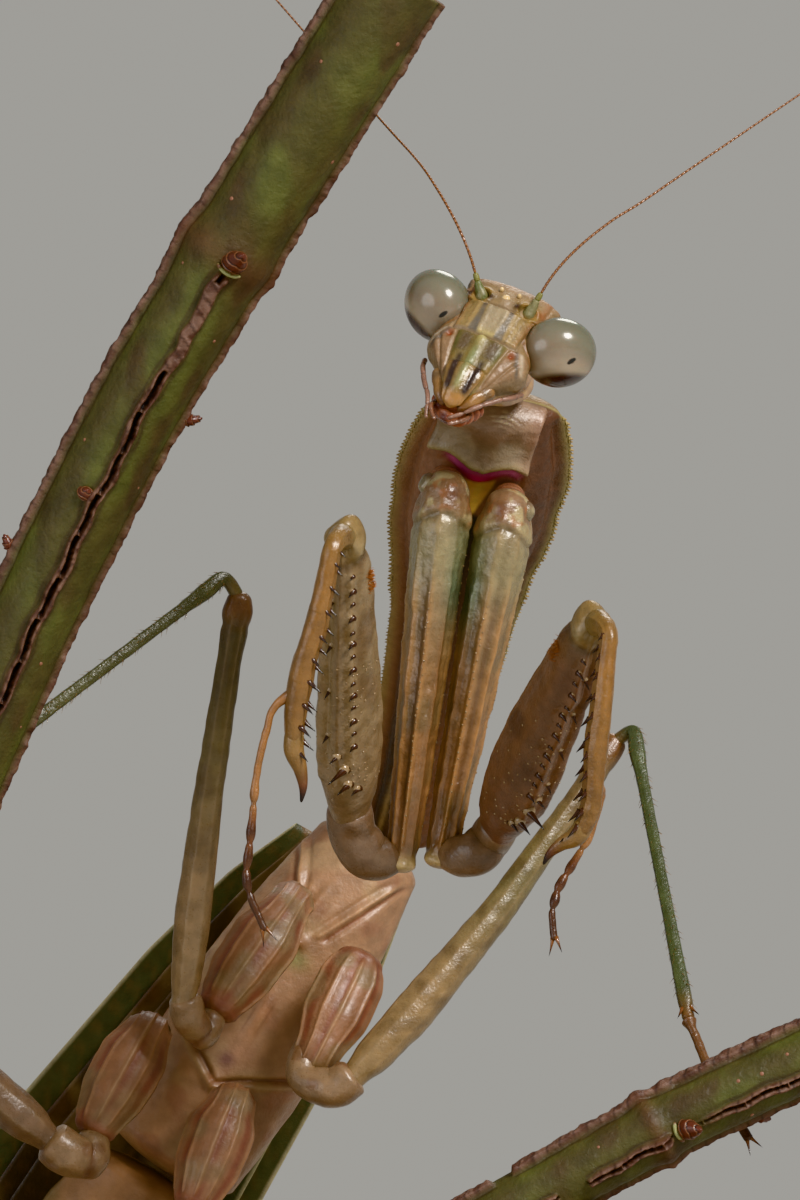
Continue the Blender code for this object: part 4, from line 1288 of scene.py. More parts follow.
def paint_blaze(coat, a, b, above, inside, belly):
    """The pink fringe and golden patch under the bib, and the hollow below them painted dark as shade."""
    fringe = inside * bump(above, -0.24, 0.2) * ramp(-np.abs(a), -2.1, -1.2)
    coat.wash(168, 122, 122, inside * bump(above, 0.03, 0.1) * bump(a, 0.1, 1.3) * 0.8)
    coat.wash(204, 116, 146, np.clip(fringe * 1.2, 0, 1))
    coat.wash(230, 58, 104, inside * bump(above, -0.46, 0.2) * bump(a, -0.05, 0.6))
    gold = inside * ramp(-above, 0.56, 0.7) * ramp(0.6 - np.abs(a + 0.02) - 0.34 * (0.5 - b), -0.1, 0.06)
    coat.wash(244, 178, 84, gold)
    coat.wash(250, 200, 96, gold * bump(a, 0.1, 0.2))
    # Painted shade: the gap between the grasping legs' roots is dark brown and teal-black, with a narrow
    # strip of the breast's own tan lower down.
    deep = belly * ramp(-b, 0.75, 1.0)
    coat.wash(52, 38, 26, deep * bump(a, 0, 1.5))
    coat.wash(20, 30, 26, deep * bump(a, 0, 0.8) * bump(b, -2.6, 3.2))
    coat.wash(150, 124, 86, deep * bump(a, 0.1, 0.14) * ramp(-b, 4.5, 6.0))


def build_pronotum_teeth(skin, facing, settings):
    """Small teeth along both margins, shorter behind the shield's widest part."""
    teeth = []
    generator = np.random.default_rng(SEED)
    for side in (-1, 1):
        for place in np.arange(0.035, 0.93, settings.tooth_spacing / MM / skin.length):
            root, out = skin.at(place, side * MARGIN)
            size = 1.0 if place < 0.45 else 0.6
            reach = (0.1 + 0.05 * generator.random()) * size
            teeth.append((root - out * 0.06, out + facing * 0.2, 0.085 * size, reach + 0.06, (0.3, 0, -1)))
    grow("pronotum_teeth", "spines", teeth, "pale_spine", "head_and_shield", Sides=8, Hook=0.12, Point=0.3)


BREAST_KNOT = np.array((2.45, 0.0, 62.1))
BREAST_DOWN = unit((-0.521, 0, -0.854))


def build_pterothorax():
    """The breast plates that carry the walking legs, with a raised knot between each pair."""
    skin = body_skin("pterothorax", centre_of("prothorax"), FRONT, 300, 280, 2.2, (1.0, 1.0))
    share, angle = skin.share, skin.angle
    turned = np.abs(angle)
    belly = ramp(np.cos(angle), 0.0, 0.4)
    away = skin.points - BREAST_KNOT
    down = away @ BREAST_DOWN
    across = away @ np.cross(BREAST_DOWN, (0, 1, 0)) * -1
    across = across * np.sign(across[skin.points[..., 0] > 5].mean())
    wide = np.abs(across)
    lens = bump(across, 0.15, 0.3) * bump(down, 4.0, 1.2)
    brace = wide - (0.6 + 0.5 * (-down - 0.7))
    above = ramp(-down, 0.4, 0.8) * ramp(down, -5.0, -4.0)
    crease = down - (7.6 - 0.6 * wide) + 0.12 * skin.lumps(1.5)
    groove = bump(across - (0.3 + 0.25 * (down - 7.7)), 0, 0.13) * ramp(down, 7.7, 8.2)
    knots = bump(np.hypot(down, across), 0, 0.3) + bump(np.hypot(down - 7.6, across + 0.1), 0, 0.36)
    pleats = np.sin(8 * across + 1.3 * down) * bump(across, -0.6, 0.9) * bump(down, -1.9, 1.0)
    relief = (
        0.22 * lens
        + above * (
            0.13 * bump(brace, 0, 0.14) - 0.13 * bump(brace, 0.4, 0.16) - 0.08 * bump(brace, -0.35, 0.14)
        )
    )
    relief += (
        0.3 * knots - 0.28 * groove - 0.2 * bump(crease, 0, 0.15) + 0.1 * bump(crease, 0.35, 0.2)
        + 0.09 * pleats
    )
    relief *= belly
    relief += 0.04 * np.sin(angle * 9 + 6 * share) * bump(turned, 1.1, 0.4)
    relief += 0.05 * skin.lumps(1.1) + 0.012 * skin.lumps(0.3)
    skin.raise_by(relief)
    coat = plain_coat(share, 172, 132, 100)
    coat.wash(184, 150, 114, ramp(skin.lumps(1.5), -0.1, 0.5) * 0.8)
    coat.wash(154, 108, 84, ramp(skin.lumps(1.1), 0.15, 0.6) * 0.6)
    coat.wash(
        196, 152, 112,
        np.clip(above * bump(brace, 0, 0.1) + 0.6 * np.clip(pleats, 0, 1), 0, 1) * belly * 0.7,
    )
    coat.wash(146, 96, 72, above * bump(brace, 0.36, 0.12) * belly * 0.8)
    coat.wash(160, 112, 80, lens * 0.7)
    coat.wash(120, 80, 60, bump(np.abs(across - 0.15), 0.34, 0.06) * bump(down, 4.0, 1.2) * belly * 0.5)
    coat.wash(82, 50, 38, groove * belly * 0.9)
    coat.wash(118, 78, 60, bump(crease, 0, 0.1) * belly * 0.8)
    coat.wash(194, 164, 124, bump(crease, 0.35, 0.14) * belly * 0.5)
    coat.wash(160, 110, 72, np.clip(knots, 0, 1) * belly * 0.7)
    coat.wash(158, 150, 98, bump(np.hypot(down - 0.75, (across - 0.2) * 0.7), 0, 0.45) * belly * 0.85)
    coat.wash(120, 82, 80, bump(np.hypot(down - 6.4, across + 0.1), 0, 0.4) * belly * 0.8)
    coat.wash(112, 98, 66, (1 - belly) * ramp(turned, 1.9, 2.5) * 0.8)
    skin.finish("breast_plates", coat, "belly", "underside", "pterothorax")


def build_abdomen():
    """Overlapping rings that end in a pointed plate, with a soft pleated side."""
    skin = body_skin("abdomen", centre_of("pterothorax"), FRONT, 360, 150, 2.1, (0.8, 1.2), 20, (0.5, 0.9))
    share, angle = skin.share, skin.angle
    rings = 8
    phase = (share * rings + 0.06 * np.cos(angle)) % 1
    edge = phase**6
    side = bump(np.abs(angle), math.pi / 2, 0.25)
    relief = 0.16 * (phase - 0.5) * (1 - side) - 0.2 * bump(phase, 0.02, 0.04) - 0.12 * side
    relief += 0.06 * np.sin(share * rings * 12) * side + 0.05 * skin.lumps(1.0)
    relief += 0.08 * bump(angle, 0, 0.1)
    skin.raise_by(relief * ramp(-share, -0.985, -0.9))
    coat = coat_along(skin, (0, 170, 126, 90), (0.4, 150, 118, 78), (1, 120, 96, 58))
    coat.wash(104, 96, 54, ramp(skin.lumps(2.4), 0, 0.6) * 0.6)
    coat.wash(196, 156, 108, edge * 0.6)
    coat.wash(84, 60, 38, bump(phase, 0.03, 0.05) * 0.9)
    coat.wash(96, 62, 44, side * 0.6)
    skin.finish("abdomen_rings", coat, "belly", "underside", "abdomen")
    for name in SIDES:
        node = "cercus_" + name
        centres, sizes = limb_line(node, centre_of("abdomen"), count=6)
        centres = np.vstack((centres[0] + unit(centres[0] - centres[1]) * 1.4, centres))
        sizes = np.vstack((sizes[0], sizes))
        joints = np.linspace(0.12, 0.88, 9)
        skin, coat = jointed(
            centres, sizes.mean(1) * 0.95, joints, FRONT, ink(148, 112, 70), 160, 28
        )
        skin.finish("cercus_rings_" + name, coat, "belly", "underside", node)


def wing_grid(node, rows=150, columns=44):
    """The outer face of a folded wing, read off its solid by straight lines through it."""
    points, corners = solid(node)
    tree = BVHTree.FromPolygons(points.tolist(), corners.tolist())
    middle = points.mean(0)
    axis = np.linalg.svd(points - middle, full_matrices=False)[2][0]
    if axis[2] > 0:
        axis = -axis
    across, down = side_axes(axis, FRONT)
    along = (points - middle) @ axis
    grid = np.zeros((rows, columns, 3))
    for row, height in enumerate(np.linspace(along.min() + 0.25, along.max() - 0.25, rows)):
        near = []
        origin = middle + axis * height
        level = (points - origin) @ axis
        tri = level[corners]
        for face in corners[(tri.min(1) < 0) & (tri.max(1) > 0)]:
            for a, b in ((0, 1), (1, 2), (2, 0)):
                p, q = face[a], face[b]
                if (level[p] < 0) != (level[q] < 0):
                    t = level[p] / (level[p] - level[q])
                    near.append((points[p] + (points[q] - points[p]) * t - origin) @ across)
        low, high = min(near), max(near)
        for column, offset in enumerate(np.linspace(low + 0.03, high - 0.03, columns)):
            start = origin + across * offset - down * 12
            hit = tree.ray_cast(start.tolist(), down.tolist())[0]
            grid[row, column] = hit if hit is not None else grid[row, max(column - 1, 0)]
    root = ramp(-np.linspace(0, 1, rows), -0.13, 0.0)
    return grid + down * (0.3 + 1.5 * root)[:, None, None], across, down


def build_wing(name, leathery, settings):
    """A thin curved sheet with raised lengthwise veins and a net of cross-veins."""
    grid, _, down = wing_grid(name)
    rows, columns = grid.shape[:2]
    u, v = np.meshgrid(np.linspace(0, 1, rows), np.linspace(-1, 1, columns), indexing="ij")
    veins = np.zeros(u.shape)
    for i, lane in enumerate(np.linspace(-0.86, 0.86, 9)):
        path = lane * (0.35 + 0.65 * np.sqrt(np.clip(u, 0, 1))) + 0.03 * np.sin(7 * u + i)
        veins = np.maximum(veins, bump(v, path, 0.035))
    net = np.abs(np.sin(u * 150 + 4 * np.sin(v * 9))) ** 14 * 0.55
    veins = np.maximum(veins, net * (np.abs(v) < 0.93))
    thick = settings.wing_thickness / MM
    outer = grid - down * (0.03 * veins)[..., None]
    inner = grid + down * thick
    points = np.concatenate((outer.reshape(-1, 3), inner.reshape(-1, 3)))
    index = np.arange(rows * columns).reshape(rows, columns)
    faces = []
    for sheet, flip in ((index, False), (index + rows * columns, True)):
        quads = np.stack(
            (sheet[:-1, :-1], sheet[1:, :-1], sheet[1:, 1:], sheet[:-1, 1:]), -1
        ).reshape(-1, 4)
        faces += (quads[:, ::-1] if flip else quads).tolist()
    loop = np.concatenate((index[0, :], index[1:, -1], index[-1, -2::-1], index[-2:0:-1, 0]))
    for a, b in zip(loop, np.roll(loop, -1)):
        faces.append((a, b, b + rows * columns, a + rows * columns))
    coat = plain_coat(u, 132, 108, 76)
    cloud = rough(grid, 1.8)
    coat.wash(92, 66, 42, ramp(cloud, 0, 0.6))
    if leathery:
        edge = ramp(np.abs(v), 0.66, 0.74)
        coat.wash(98, 102, 74, edge)
        coat.wash(206, 194, 152, ramp(np.abs(v), 0.955, 0.975))
    else:
        coat.wash(58, 44, 34, ramp(-cloud, 0.1, 0.4) * 0.8)
    coat.lay(ink(160, 126, 84) if leathery else ink(120, 84, 50), veins * 0.6)
    tint = coat.tint.reshape(-1, 3)
    # The inner sheet is painted with a darker copy of the outer colours, as shade.
    both = np.concatenate((tint, tint * 0.8))
    piece = new_piece(name + "_sheet", points, faces, both)
    settle(piece, FINISH["wing"], [name])


# Legs ---------------------------------------------------------------------------------------


def limb_end(node, towards):
    """A solid's farthest point along a direction."""
    points = solid(node)[0]
    return points[np.argmax(points @ unit(towards))]


def keels(skin, angles, width, height, start=0.03, end=0.97):
    """Lengthwise ridges of a limb at the given angles round it."""
    total = np.zeros(skin.share.shape)
    for angle in angles:
        turn = (skin.angle - angle + math.pi) % (2 * math.pi) - math.pi
        total += bump(turn, 0, width)
    return height * total * ramp(skin.share, start, start + 0.06) * ramp(-skin.share, -end, -end + 0.06)


def bead_row(skin, angle, low, high, spacing, girth, generator, drift=0.0):
    """Small beads along a limb's ridge, each (root, aim, girth, reach, lean)."""
    beads = []
    for place in np.arange(low, high, spacing / skin.length):
        turn = angle + drift * (generator.random() - 0.5)
        root, out = skin.at(place + 0.004 * generator.random(), turn)
        size = girth * (0.7 + 0.6 * generator.random())
        beads.append((root, out, size, size * 0.8, (0, 0, 1)))
    return beads


def facing_angle(skin, direction, share=0.5):
    """The angle round a limb that looks most nearly in a direction."""
    row = int(np.argmin(np.abs(skin.share[:, 0] - share)))
    return float(skin.angle[row, int(np.argmax(skin.out[row] @ unit(direction)))])


# The ridge's turn, the shares where its beads start and stop, and the gap between them.
COXA_BEADS = ((0.1, 0.3, 0.94, 0.3), (-1.45, 0.2, 0.9, 0.42), (1.5, 0.2, 0.9, 0.42))


def build_fore_coxa(name, side):
    """The long ridged coxa of a grasping leg, with a domed top and a teal inner face."""
    node = "forecoxa_" + name
    skin = body_skin(node, centre_of("neck"), FRONT, 280, 120, 2.0, (0.9, 0.5), 16, (0.75, 0.7), 1.14)
    share, angle = skin.share, skin.angle
    ridges = (-1.45, -0.62, 0.1, 0.8, 1.5, 2.6)
    lines = keels(skin, ridges, 0.13, 0.15)
    lines = lines * (0.35 + 0.65 * ramp(share, 0.16, 0.34))
    seam = share + 0.02 * np.cos(2 * angle)
    dome = ramp(-seam, -0.125, -0.1)
    skin.raise_by(lines - 0.07 + 0.1 * ramp(-share, -0.4, -0.12) + 0.05 * dome)
    skin.raise_by(-0.08 * bump(seam, 0.122, 0.01) * ramp(np.cos(angle), -0.4, 0.3))
    skin.raise_by(0.22 * bump(share, 0.985, 0.03) * ramp(np.cos(angle), -0.2, 0.8))
    skin.raise_by(0.05 * skin.lumps(0.6) + 0.02 * skin.lumps(0.2))
    coat = coat_along(
        skin, (0, 150, 132, 104), (0.2, 148, 128, 98), (0.5, 148, 114, 78), (0.8, 144, 104, 72),
        (1, 150, 114, 84),
    )
    olive = ramp(skin.lumps(1.3), 0.0, 0.5)
    coat.wash(122, 104, 76, olive * 0.6)
    ridge = np.clip(lines / 0.15, 0, 1)
    coat.wash(188, 138, 86, ridge * 0.6)
    valley = bump(angle, 0.68 * side, 0.2) + bump(angle, -0.28 * side, 0.16)
    coat.wash(104, 76, 54, np.clip(valley, 0, 1) * 0.7)
    inner = ramp(side * np.sin(angle), 0.2, 0.75) * bump(share, 0.24, 0.12)
    coat.wash(78, 116, 98, inner * 0.85)
    skin.raise_by(-0.1 * inner)
    # Painted shade: the teal face goes teal-black where it looks at the other coxa.
    coat.wash(30, 46, 42, inner * ramp(side * np.sin(angle), 0.8, 1.0))
    coat.wash(214, 184, 134, bump(share, 0.975, 0.02) * ramp(np.cos(angle), 0.2, 0.8))
    coat.wash(142, 108, 80, dome * 0.9)
    coat.wash(176, 156, 116, dome * ramp(skin.lumps(0.4), 0.0, 0.4))
    coat.wash(170, 104, 62, dome * ramp(rough(skin.points * 1.3, 0.45), 0.2, 0.5) * 0.6)
    coat.wash(112, 66, 44, dome * bump(angle, 0.3 * side, 0.35) * bump(share, 0.06, 0.03))
    coat.wash(84, 56, 38, bump(seam, 0.122, 0.008) * 0.5)
    coat.wash(156, 146, 108, bump(share, 0.2, 0.1) * 0.6)
    skin.finish("fore_coxa_" + name, coat, "leg", "foreleg", node)
    return skin


def build_coxal_membrane(name, coxa):
    """The pleated skin that joins a coxa to the breast."""
    root = coxa.line[12]
    path = [root + (0, 0.3, -0.4), root + (0, 0.9, -0.3), root + (0, 1.9, -0.1), root + (0, 2.8, 0.1)]
    girth = 0.62 * np.abs((coxa.points[30] - coxa.line[30])[:, 0]).max()
    socket = Skin(path, [(girth, girth)] * 4, (1, 0, 0), 60, 80, 2.0, (0.3, 0.3))
    socket.raise_by(0.07 * np.sin(socket.share * 22))
    coat = plain_coat(socket.share, 150, 104, 78)
    # Painted shade in the troughs of the pleats.
    coat.wash(92, 58, 42, ramp(-np.sin(socket.share * 22), 0, 1))
    socket.finish("coxal_membrane_" + name, coat, "wet", "foreleg")


def build_coxal_knob(name, side):
    """The round knob of the breast beside a coxa's root."""
    origin, left, up = breast_axes()
    front = np.array(FRONT)
    place = origin + left * (side * 2.2) + front * 0.25 - up * 0.1
    line = [place + up * (0.52 * step) for step in (1, 0.5, 0, -0.5, -1)]
    knob = Skin(line, [(0.46, 0.42)] * 5, front, 70, 80, 2.0, (0.52, 0.52))
    knob.raise_by(
        0.06 * knob.lumps(0.35) - 0.06 * bump(knob.angle, 0.6 * side, 0.3) * bump(knob.share, 0.4, 0.2)
    )
    coat = plain_coat(knob.share, 134, 120, 92)
    coat.wash(174, 158, 124, ramp(knob.lumps(0.5), -0.1, 0.5))
    coat.wash(98, 62, 42, bump(knob.share, 0.1, 0.15) * 0.7)
    knob.finish("coxal_knob_" + name, coat, "wet", "foreleg")


def build_coxa_beads(name, side, coxa):
    """Rows of beads along three of the coxa's ridges."""
    generator = np.random.default_rng(SEED + side)
    beads = []
    for turn, low, high, spacing in COXA_BEADS:
        beads += bead_row(coxa, turn, low, high, spacing, 0.042, generator, 0.1)
    grow("fore_coxa_beads_" + name, "beads", beads, "bead", "foreleg", Detail=2)


def build_fore_trochanter(name):
    """The knuckle that turns the limb upwards between the coxa and the femur."""
    node = "foretrochanter_" + name
    coxa, _ = limb_line("forecoxa_" + name, centre_of("neck"))
    centres, sizes = limb_line(node, coxa[-1], count=5)
    femur, _ = limb_line("forefemur_" + name, centres[-1])
    width = sizes.max()
    end = femur[0] + unit(femur[1] - femur[0]) * 0.6
    path = np.vstack(
        (coxa[-1] + (0, 0, 0.4), coxa[-1] + unit(centres[1] - coxa[-1]) * 0.6, centres[1:4], femur[0], end)
    )
    girths = np.array((0.6, 0.82, 0.98, 1.0, 0.96, 0.9, 0.8)) * width
    skin = Skin(path, np.stack((girths, girths * 0.98), -1), FRONT, 130, 90, 2.1, (0.7, 0.5))
    skin.raise_by(0.07 * np.sin(skin.share * 8) * bump(skin.angle, 0.3, 0.7) + 0.06 * skin.lumps(0.7))
    coat = plain_coat(skin.share, 126, 100, 78)
    coat.wash(148, 118, 90, ramp(skin.lumps(0.9), 0, 0.5) * 0.6)
    coat.wash(92, 66, 44, ramp(-skin.lumps(0.8), 0.2, 0.6) * 0.6)
    skin.finish("fore_trochanter_" + name, coat, "leg", "foreleg", node)


FEMUR_PAINT = {
    "right": {"base": (150, 126, 94), "low": (156, 130, 102), "dark": (118, 92, 66)},
    "left": {"base": (124, 88, 62), "low": (114, 78, 58), "dark": (84, 56, 42)},
}
SPINE_SIDES = {
    "right": {
        "row": (0.34, -0.94, 0.0), "aim": (-0.65, -0.7, -0.35), "rake": (0.95, -0.3, 0.0),
        "comb": (0.8, -0.4, -0.7),
    },
    "left": {
        "row": (0.0, -0.98, -0.2), "aim": (0.62, -0.65, -0.5), "rake": (-0.95, -0.3, 0.0),
        "comb": (-0.75, -0.45, -0.7),
    },
}


# Share of the femur's length, turn off the row, reach and girth of each long spine.
LONG_SPINES = (
    (0.31, 0.55, 0.6, 0.14), (0.25, 0.35, 1.35, 0.19), (0.2, 0.2, 0.95, 0.17), (0.17, -0.1, 0.6, 0.14)
)


def build_fore_femur(name, side, settings):
    """The grasping femur: a deep blade with two rows of spines and four long ones near its root."""
    node = "forefemur_" + name
    near = centre_of("foretrochanter_" + name)
    centres, _ = limb_line(node, near, count=6)
    armed = armed_side(node, centres)
    skin = body_skin(node, near, armed, 280, 130, 1.95, (0.7, 0.6), 18, (0.5, 0.1), 1.04)
    share, angle = skin.share, skin.angle
    row_turn = facing_angle(skin, SPINE_SIDES[name]["row"])
    row = (angle - row_turn + math.pi) % (2 * math.pi) - math.pi
    body = ramp(share, 0.2, 0.3) * ramp(-share, -0.92, -0.86)
    groove = bump(angle, 0, 0.2) * body
    keel = bump(row, 0, 0.16) * body
    lines = keels(skin, (-0.42, 0.42), 0.12, 0.1, 0.16, 0.95)
    outer = keels(skin, (math.pi, 2.2, -2.2), 0.12, 0.06, 0.05, 0.9)
    skin.raise_by(lines + outer + 0.09 * keel - 0.18 * groove)
    lobes = bump(share, 0.93, 0.035) * (bump(angle, 1.25, 0.4) + bump(angle, -1.25, 0.4))
    skin.raise_by(0.2 * lobes - 0.22 * ramp(share, 0.84, 0.9) - 0.05 * bump(share, 0.885, 0.012))
    skin.raise_by(-0.12 * bump(share, 0.95, 0.03) * bump(np.abs(angle), 0.75, 0.16))
    skin.raise_by(0.05 * skin.lumps(0.8) + 0.015 * skin.lumps(0.25))
    paint = FEMUR_PAINT[name]
    coat = coat_along(
        skin, (0, *paint["low"]), (0.4, *paint["base"]), (0.8, *paint["base"]), (1, 126, 104, 70)
    )
    coat.lay(ink(*paint["dark"]), ramp(skin.lumps(1.4), 0.05, 0.5) * 0.6)
    # A brighter copy of the base along the spine row's keel is painted highlight; the dark band beside the
    # row is painted shade in the groove by the folded shin.
    coat.lay(ink(*paint["base"]) * 1.3, keel * 0.5)
    coat.wash(90, 64, 42, bump(row, -0.45, 0.2) * body * 0.35)
    coat.wash(146, 118, 70, ramp(share, 0.86, 0.96) * 0.6)
    coat.wash(82, 62, 42, bump(share, 0.885, 0.012) * 0.7)
    coat.wash(178, 156, 116, lobes * 0.7)
    skin.finish("fore_femur_" + name, coat, "leg", "foreleg", node)
    arm_fore_femur(name, side, settings, skin, row_turn, unit(centres[-1] - centres[0]))
    return skin


def arm_fore_femur(name, side, settings, skin, row_turn, along):
    """The femur's spines on pale beads, its small warts and the brush near the knee."""
    aim = unit(SPINE_SIDES[name]["aim"])
    spines, beads = [], []
    for i in range(settings.inner_spines):
        place = 0.33 + 0.53 * i / (settings.inner_spines - 1)
        root, out = skin.at(place, row_turn)
        reach, girth = ((0.46, 0.13), (0.26, 0.09))[i % 2]
        spines.append((root - aim * 0.1, aim + out * 0.4, girth, reach + 0.1, -along))
        beads.append((root - out * 0.08, out, girth * 1.3, girth * 1.1, along))
    for i in range(4):
        root, out = skin.at(0.36 + 0.14 * i, 0.0)
        spines.append((root - out * 0.15, out - 0.3 * along, 0.13, 0.62, -along))
        beads.append((root - out * 0.06, out, 0.17, 0.14, along))
    for place, turn, reach, girth in LONG_SPINES:
        root, out = skin.at(place, row_turn * (1 - turn))
        spines.append((root - aim * 0.15, aim + 0.25 * out, girth, reach + 0.15, -along))
        beads.append((root - out * 0.05, out, girth * 1.6, girth * 1.4, along))
    grow("fore_femur_spines_" + name, "spines", spines, "spine", "foreleg", Sides=9, Hook=0.14, Point=0.06)
    generator = np.random.default_rng(SEED + 5 * side)
    for _ in range(70):
        root, out = skin.at(generator.uniform(0.12, 0.6), row_turn + generator.normal(-0.1, 0.7))
        beads.append((root, out, 0.045 + 0.02 * generator.random(), 0.03, along))
    grow("fore_femur_beads_" + name, "beads", beads, "bead", "foreleg", Detail=2)
    brush = []
    inward = facing_angle(skin, (-side, -0.25, 0), 0.8)
    for _ in range(160):
        root, out = skin.at(generator.uniform(0.77, 0.83), inward + generator.normal(0, 0.14))
        brush.append((root, out + along * 0.3, 0.018, 0.13 + 0.05 * generator.random(), along))
    grow("fore_femur_brush_" + name, "spines", brush, "brush", "foreleg", Sides=3, Hook=0.1, Point=0.3)


def build_fore_tibia(name, side, settings, hinge):
    """The grasping shin, which runs from the femur's knee."""
    node = "foretibia_" + name
    near = centre_of("forefemur_" + name) + np.array((0, -9, 8))
    centres, _ = limb_line(node, near, count=6, thin=0.45)
    rake = unit(SPINE_SIDES[name]["rake"])
    skin = body_skin(node, near, rake, 240, 84, 2.0, (0.45, 0.4), 12, (0, 0), 1.0, hinge)
    share, angle = skin.share, skin.angle
    skin.raise_by(
        -0.05 * bump(share, 0.45, 0.3) - 0.06 * ramp(share, 0.6, 0.95) + 0.2 * bump(share, 0.07, 0.06)
        + 0.05 * keels(skin, (-0.5, 0.5, math.pi), 0.16, 1.0)
    )
    skin.raise_by(0.02 * skin.lumps(0.3) - 0.06 * bump(share, 0.1, 0.03))
    coat = coat_along(skin, (0, 124, 104, 60), (0.25, 146, 104, 56), (0.8, 134, 96, 52), (1, 130, 98, 56))
    # A painted highlight: a pale golden line along the shin's back, opposite its spines.
    coat.wash(186, 140, 80, bump(np.abs(angle), math.pi, 0.3) * 0.6)
    coat.wash(124, 88, 50, ramp(skin.lumps(1.0), 0.1, 0.5) * 0.4)
    skin.finish("fore_tibia_" + name, coat, "leg", "foreleg", node)
    along = unit(centres[-1] - centres[0])
    arm_fore_tibia(name, side, settings, skin, rake, along)
    build_fore_claw(name, skin, rake, along)
    return skin


def arm_fore_tibia(name, side, settings, skin, rake, along):
    """The shin's two raked rows of spines and its row of small beads."""
    comb = unit(SPINE_SIDES[name]["comb"])
    spines, beads = [], []
    for row, count in ((-0.35, settings.tibia_spines), (0.45, settings.tibia_spines - 2)):
        for i in range(count):
            place = 0.2 + 0.77 * (i + 0.5 * (row > 0)) / (count - 0.5)
            root, out = skin.at(place, row)
            reach = 0.26 + 0.42 * place**1.5
            aim = comb + row * 0.3 * unit(np.cross(along, rake))
            spines.append((root - unit(aim) * 0.12, aim, 0.085 + 0.05 * place, reach + 0.12, along))
    for i in range(24):
        root, out = skin.at(0.1 + 0.034 * i, math.pi - 0.5 * side)
        beads.append((root, out, 0.035, 0.025, along))
    grow("fore_tibia_beads_" + name, "beads", beads, "bead", "foreleg", Detail=2)
    grow("fore_tibia_spines_" + name, "spines", spines, "spine", "foreleg", Sides=9, Hook=0.16, Point=0.06)


def build_fore_claw(name, skin, rake, along):
    """The great hooked claw at the end of the grasping shin."""
    tip = limb_end("foretibia_" + name, along)
    root = skin.line[-14]
    bend = unit(np.cross(np.cross(along, tip - root), tip - root)) * 0.16
    path = [skin.line[-34], root, root + (tip - root) * 0.4 + bend, root + (tip - root) * 0.75 + bend, tip]
    girths = [(0.4, 0.42), (0.42, 0.44), (0.28, 0.3), (0.16, 0.17), (0.05, 0.05)]
    claw = Skin(path, girths, rake, 90, 40, 2.0, (0.15, 0.1))
    coat = coat_along(
        claw, (0, 146, 114, 68), (0.5, 140, 104, 60), (0.76, 104, 60, 36), (0.9, 40, 20, 14),
        (1, 22, 12, 8),
    )
    claw.finish("fore_claw_" + name, coat, "leg", "foreleg")


def build_tarsus(piece_name, node, ankle, joints, radius, tint, slot, claw_reach=0.8):
    """A foot of five segments with pads and two hooked claws, from the ankle outwards."""
    centres, _ = limb_line(node, ankle, count=16, thin=0.45)
    centres = np.vstack((ankle, centres))
    radii = np.full(len(centres), radius)
    radii[0] *= 1.7
    skin, coat = jointed(centres, radii, joints, FRONT, tint, 220, 28)
    swelling = np.zeros(skin.share.shape)
    for joint in joints:
        swelling += bump(skin.share, joint - 0.045, 0.03)
    skin.raise_by(0.3 * radius * swelling)
    dark = ramp(skin.share, joints[0] - 0.02, joints[0] + 0.08)
    coat.wash(98, 52, 28, dark * 0.75)
    coat.wash(60, 30, 20, np.clip(swelling, 0, 1) * dark * 0.7)
    coat.wash(44, 24, 16, ramp(skin.share, 0.66, 0.88) * 0.65)
    skin.finish(piece_name, coat, "leg", slot, node)
    last, before = skin.line[-1], skin.line[-12]
    forward = unit(last - before)
    points = solid(node)[0]
    tips = points[(points - last) @ forward > 0.15]
    inward = unit(tips.mean(0) - last - forward * 0.4) if len(tips) else np.array(FRONT)
    inward = unit(inward - (inward @ forward) * forward)
    spread = unit(np.cross(forward, inward))
    claws = []
    for side in (-1, 1):
        root = last - forward * 0.12 + spread * (side * 0.08)
        claws.append((root, forward + spread * (side * 0.34) + inward * 0.1, 0.09, claw_reach, inward))
    grow(piece_name + "_claws", "spines", claws, "claw", slot, Sides=10, Hook=0.55, Point=0.05)
    return skin


WALKING_PAINT = {
    "midleg_right": {
        "base": (150, 122, 88), "mid": (124, 106, 70), "far": (88, 74, 44), "tibia": (80, 78, 46)
    },
    "midleg_left": {
        "base": (150, 122, 84), "mid": (124, 110, 74), "far": (128, 104, 70), "tibia": (78, 84, 54)
    },
    "hindleg_right": {
        "base": (132, 104, 80), "mid": (120, 100, 66), "far": (96, 80, 46), "tibia": (84, 76, 40)
    },
    "hindleg_left": {
        "base": (132, 104, 80), "mid": (120, 100, 66), "far": (96, 80, 46), "tibia": (84, 76, 40)
    },
}


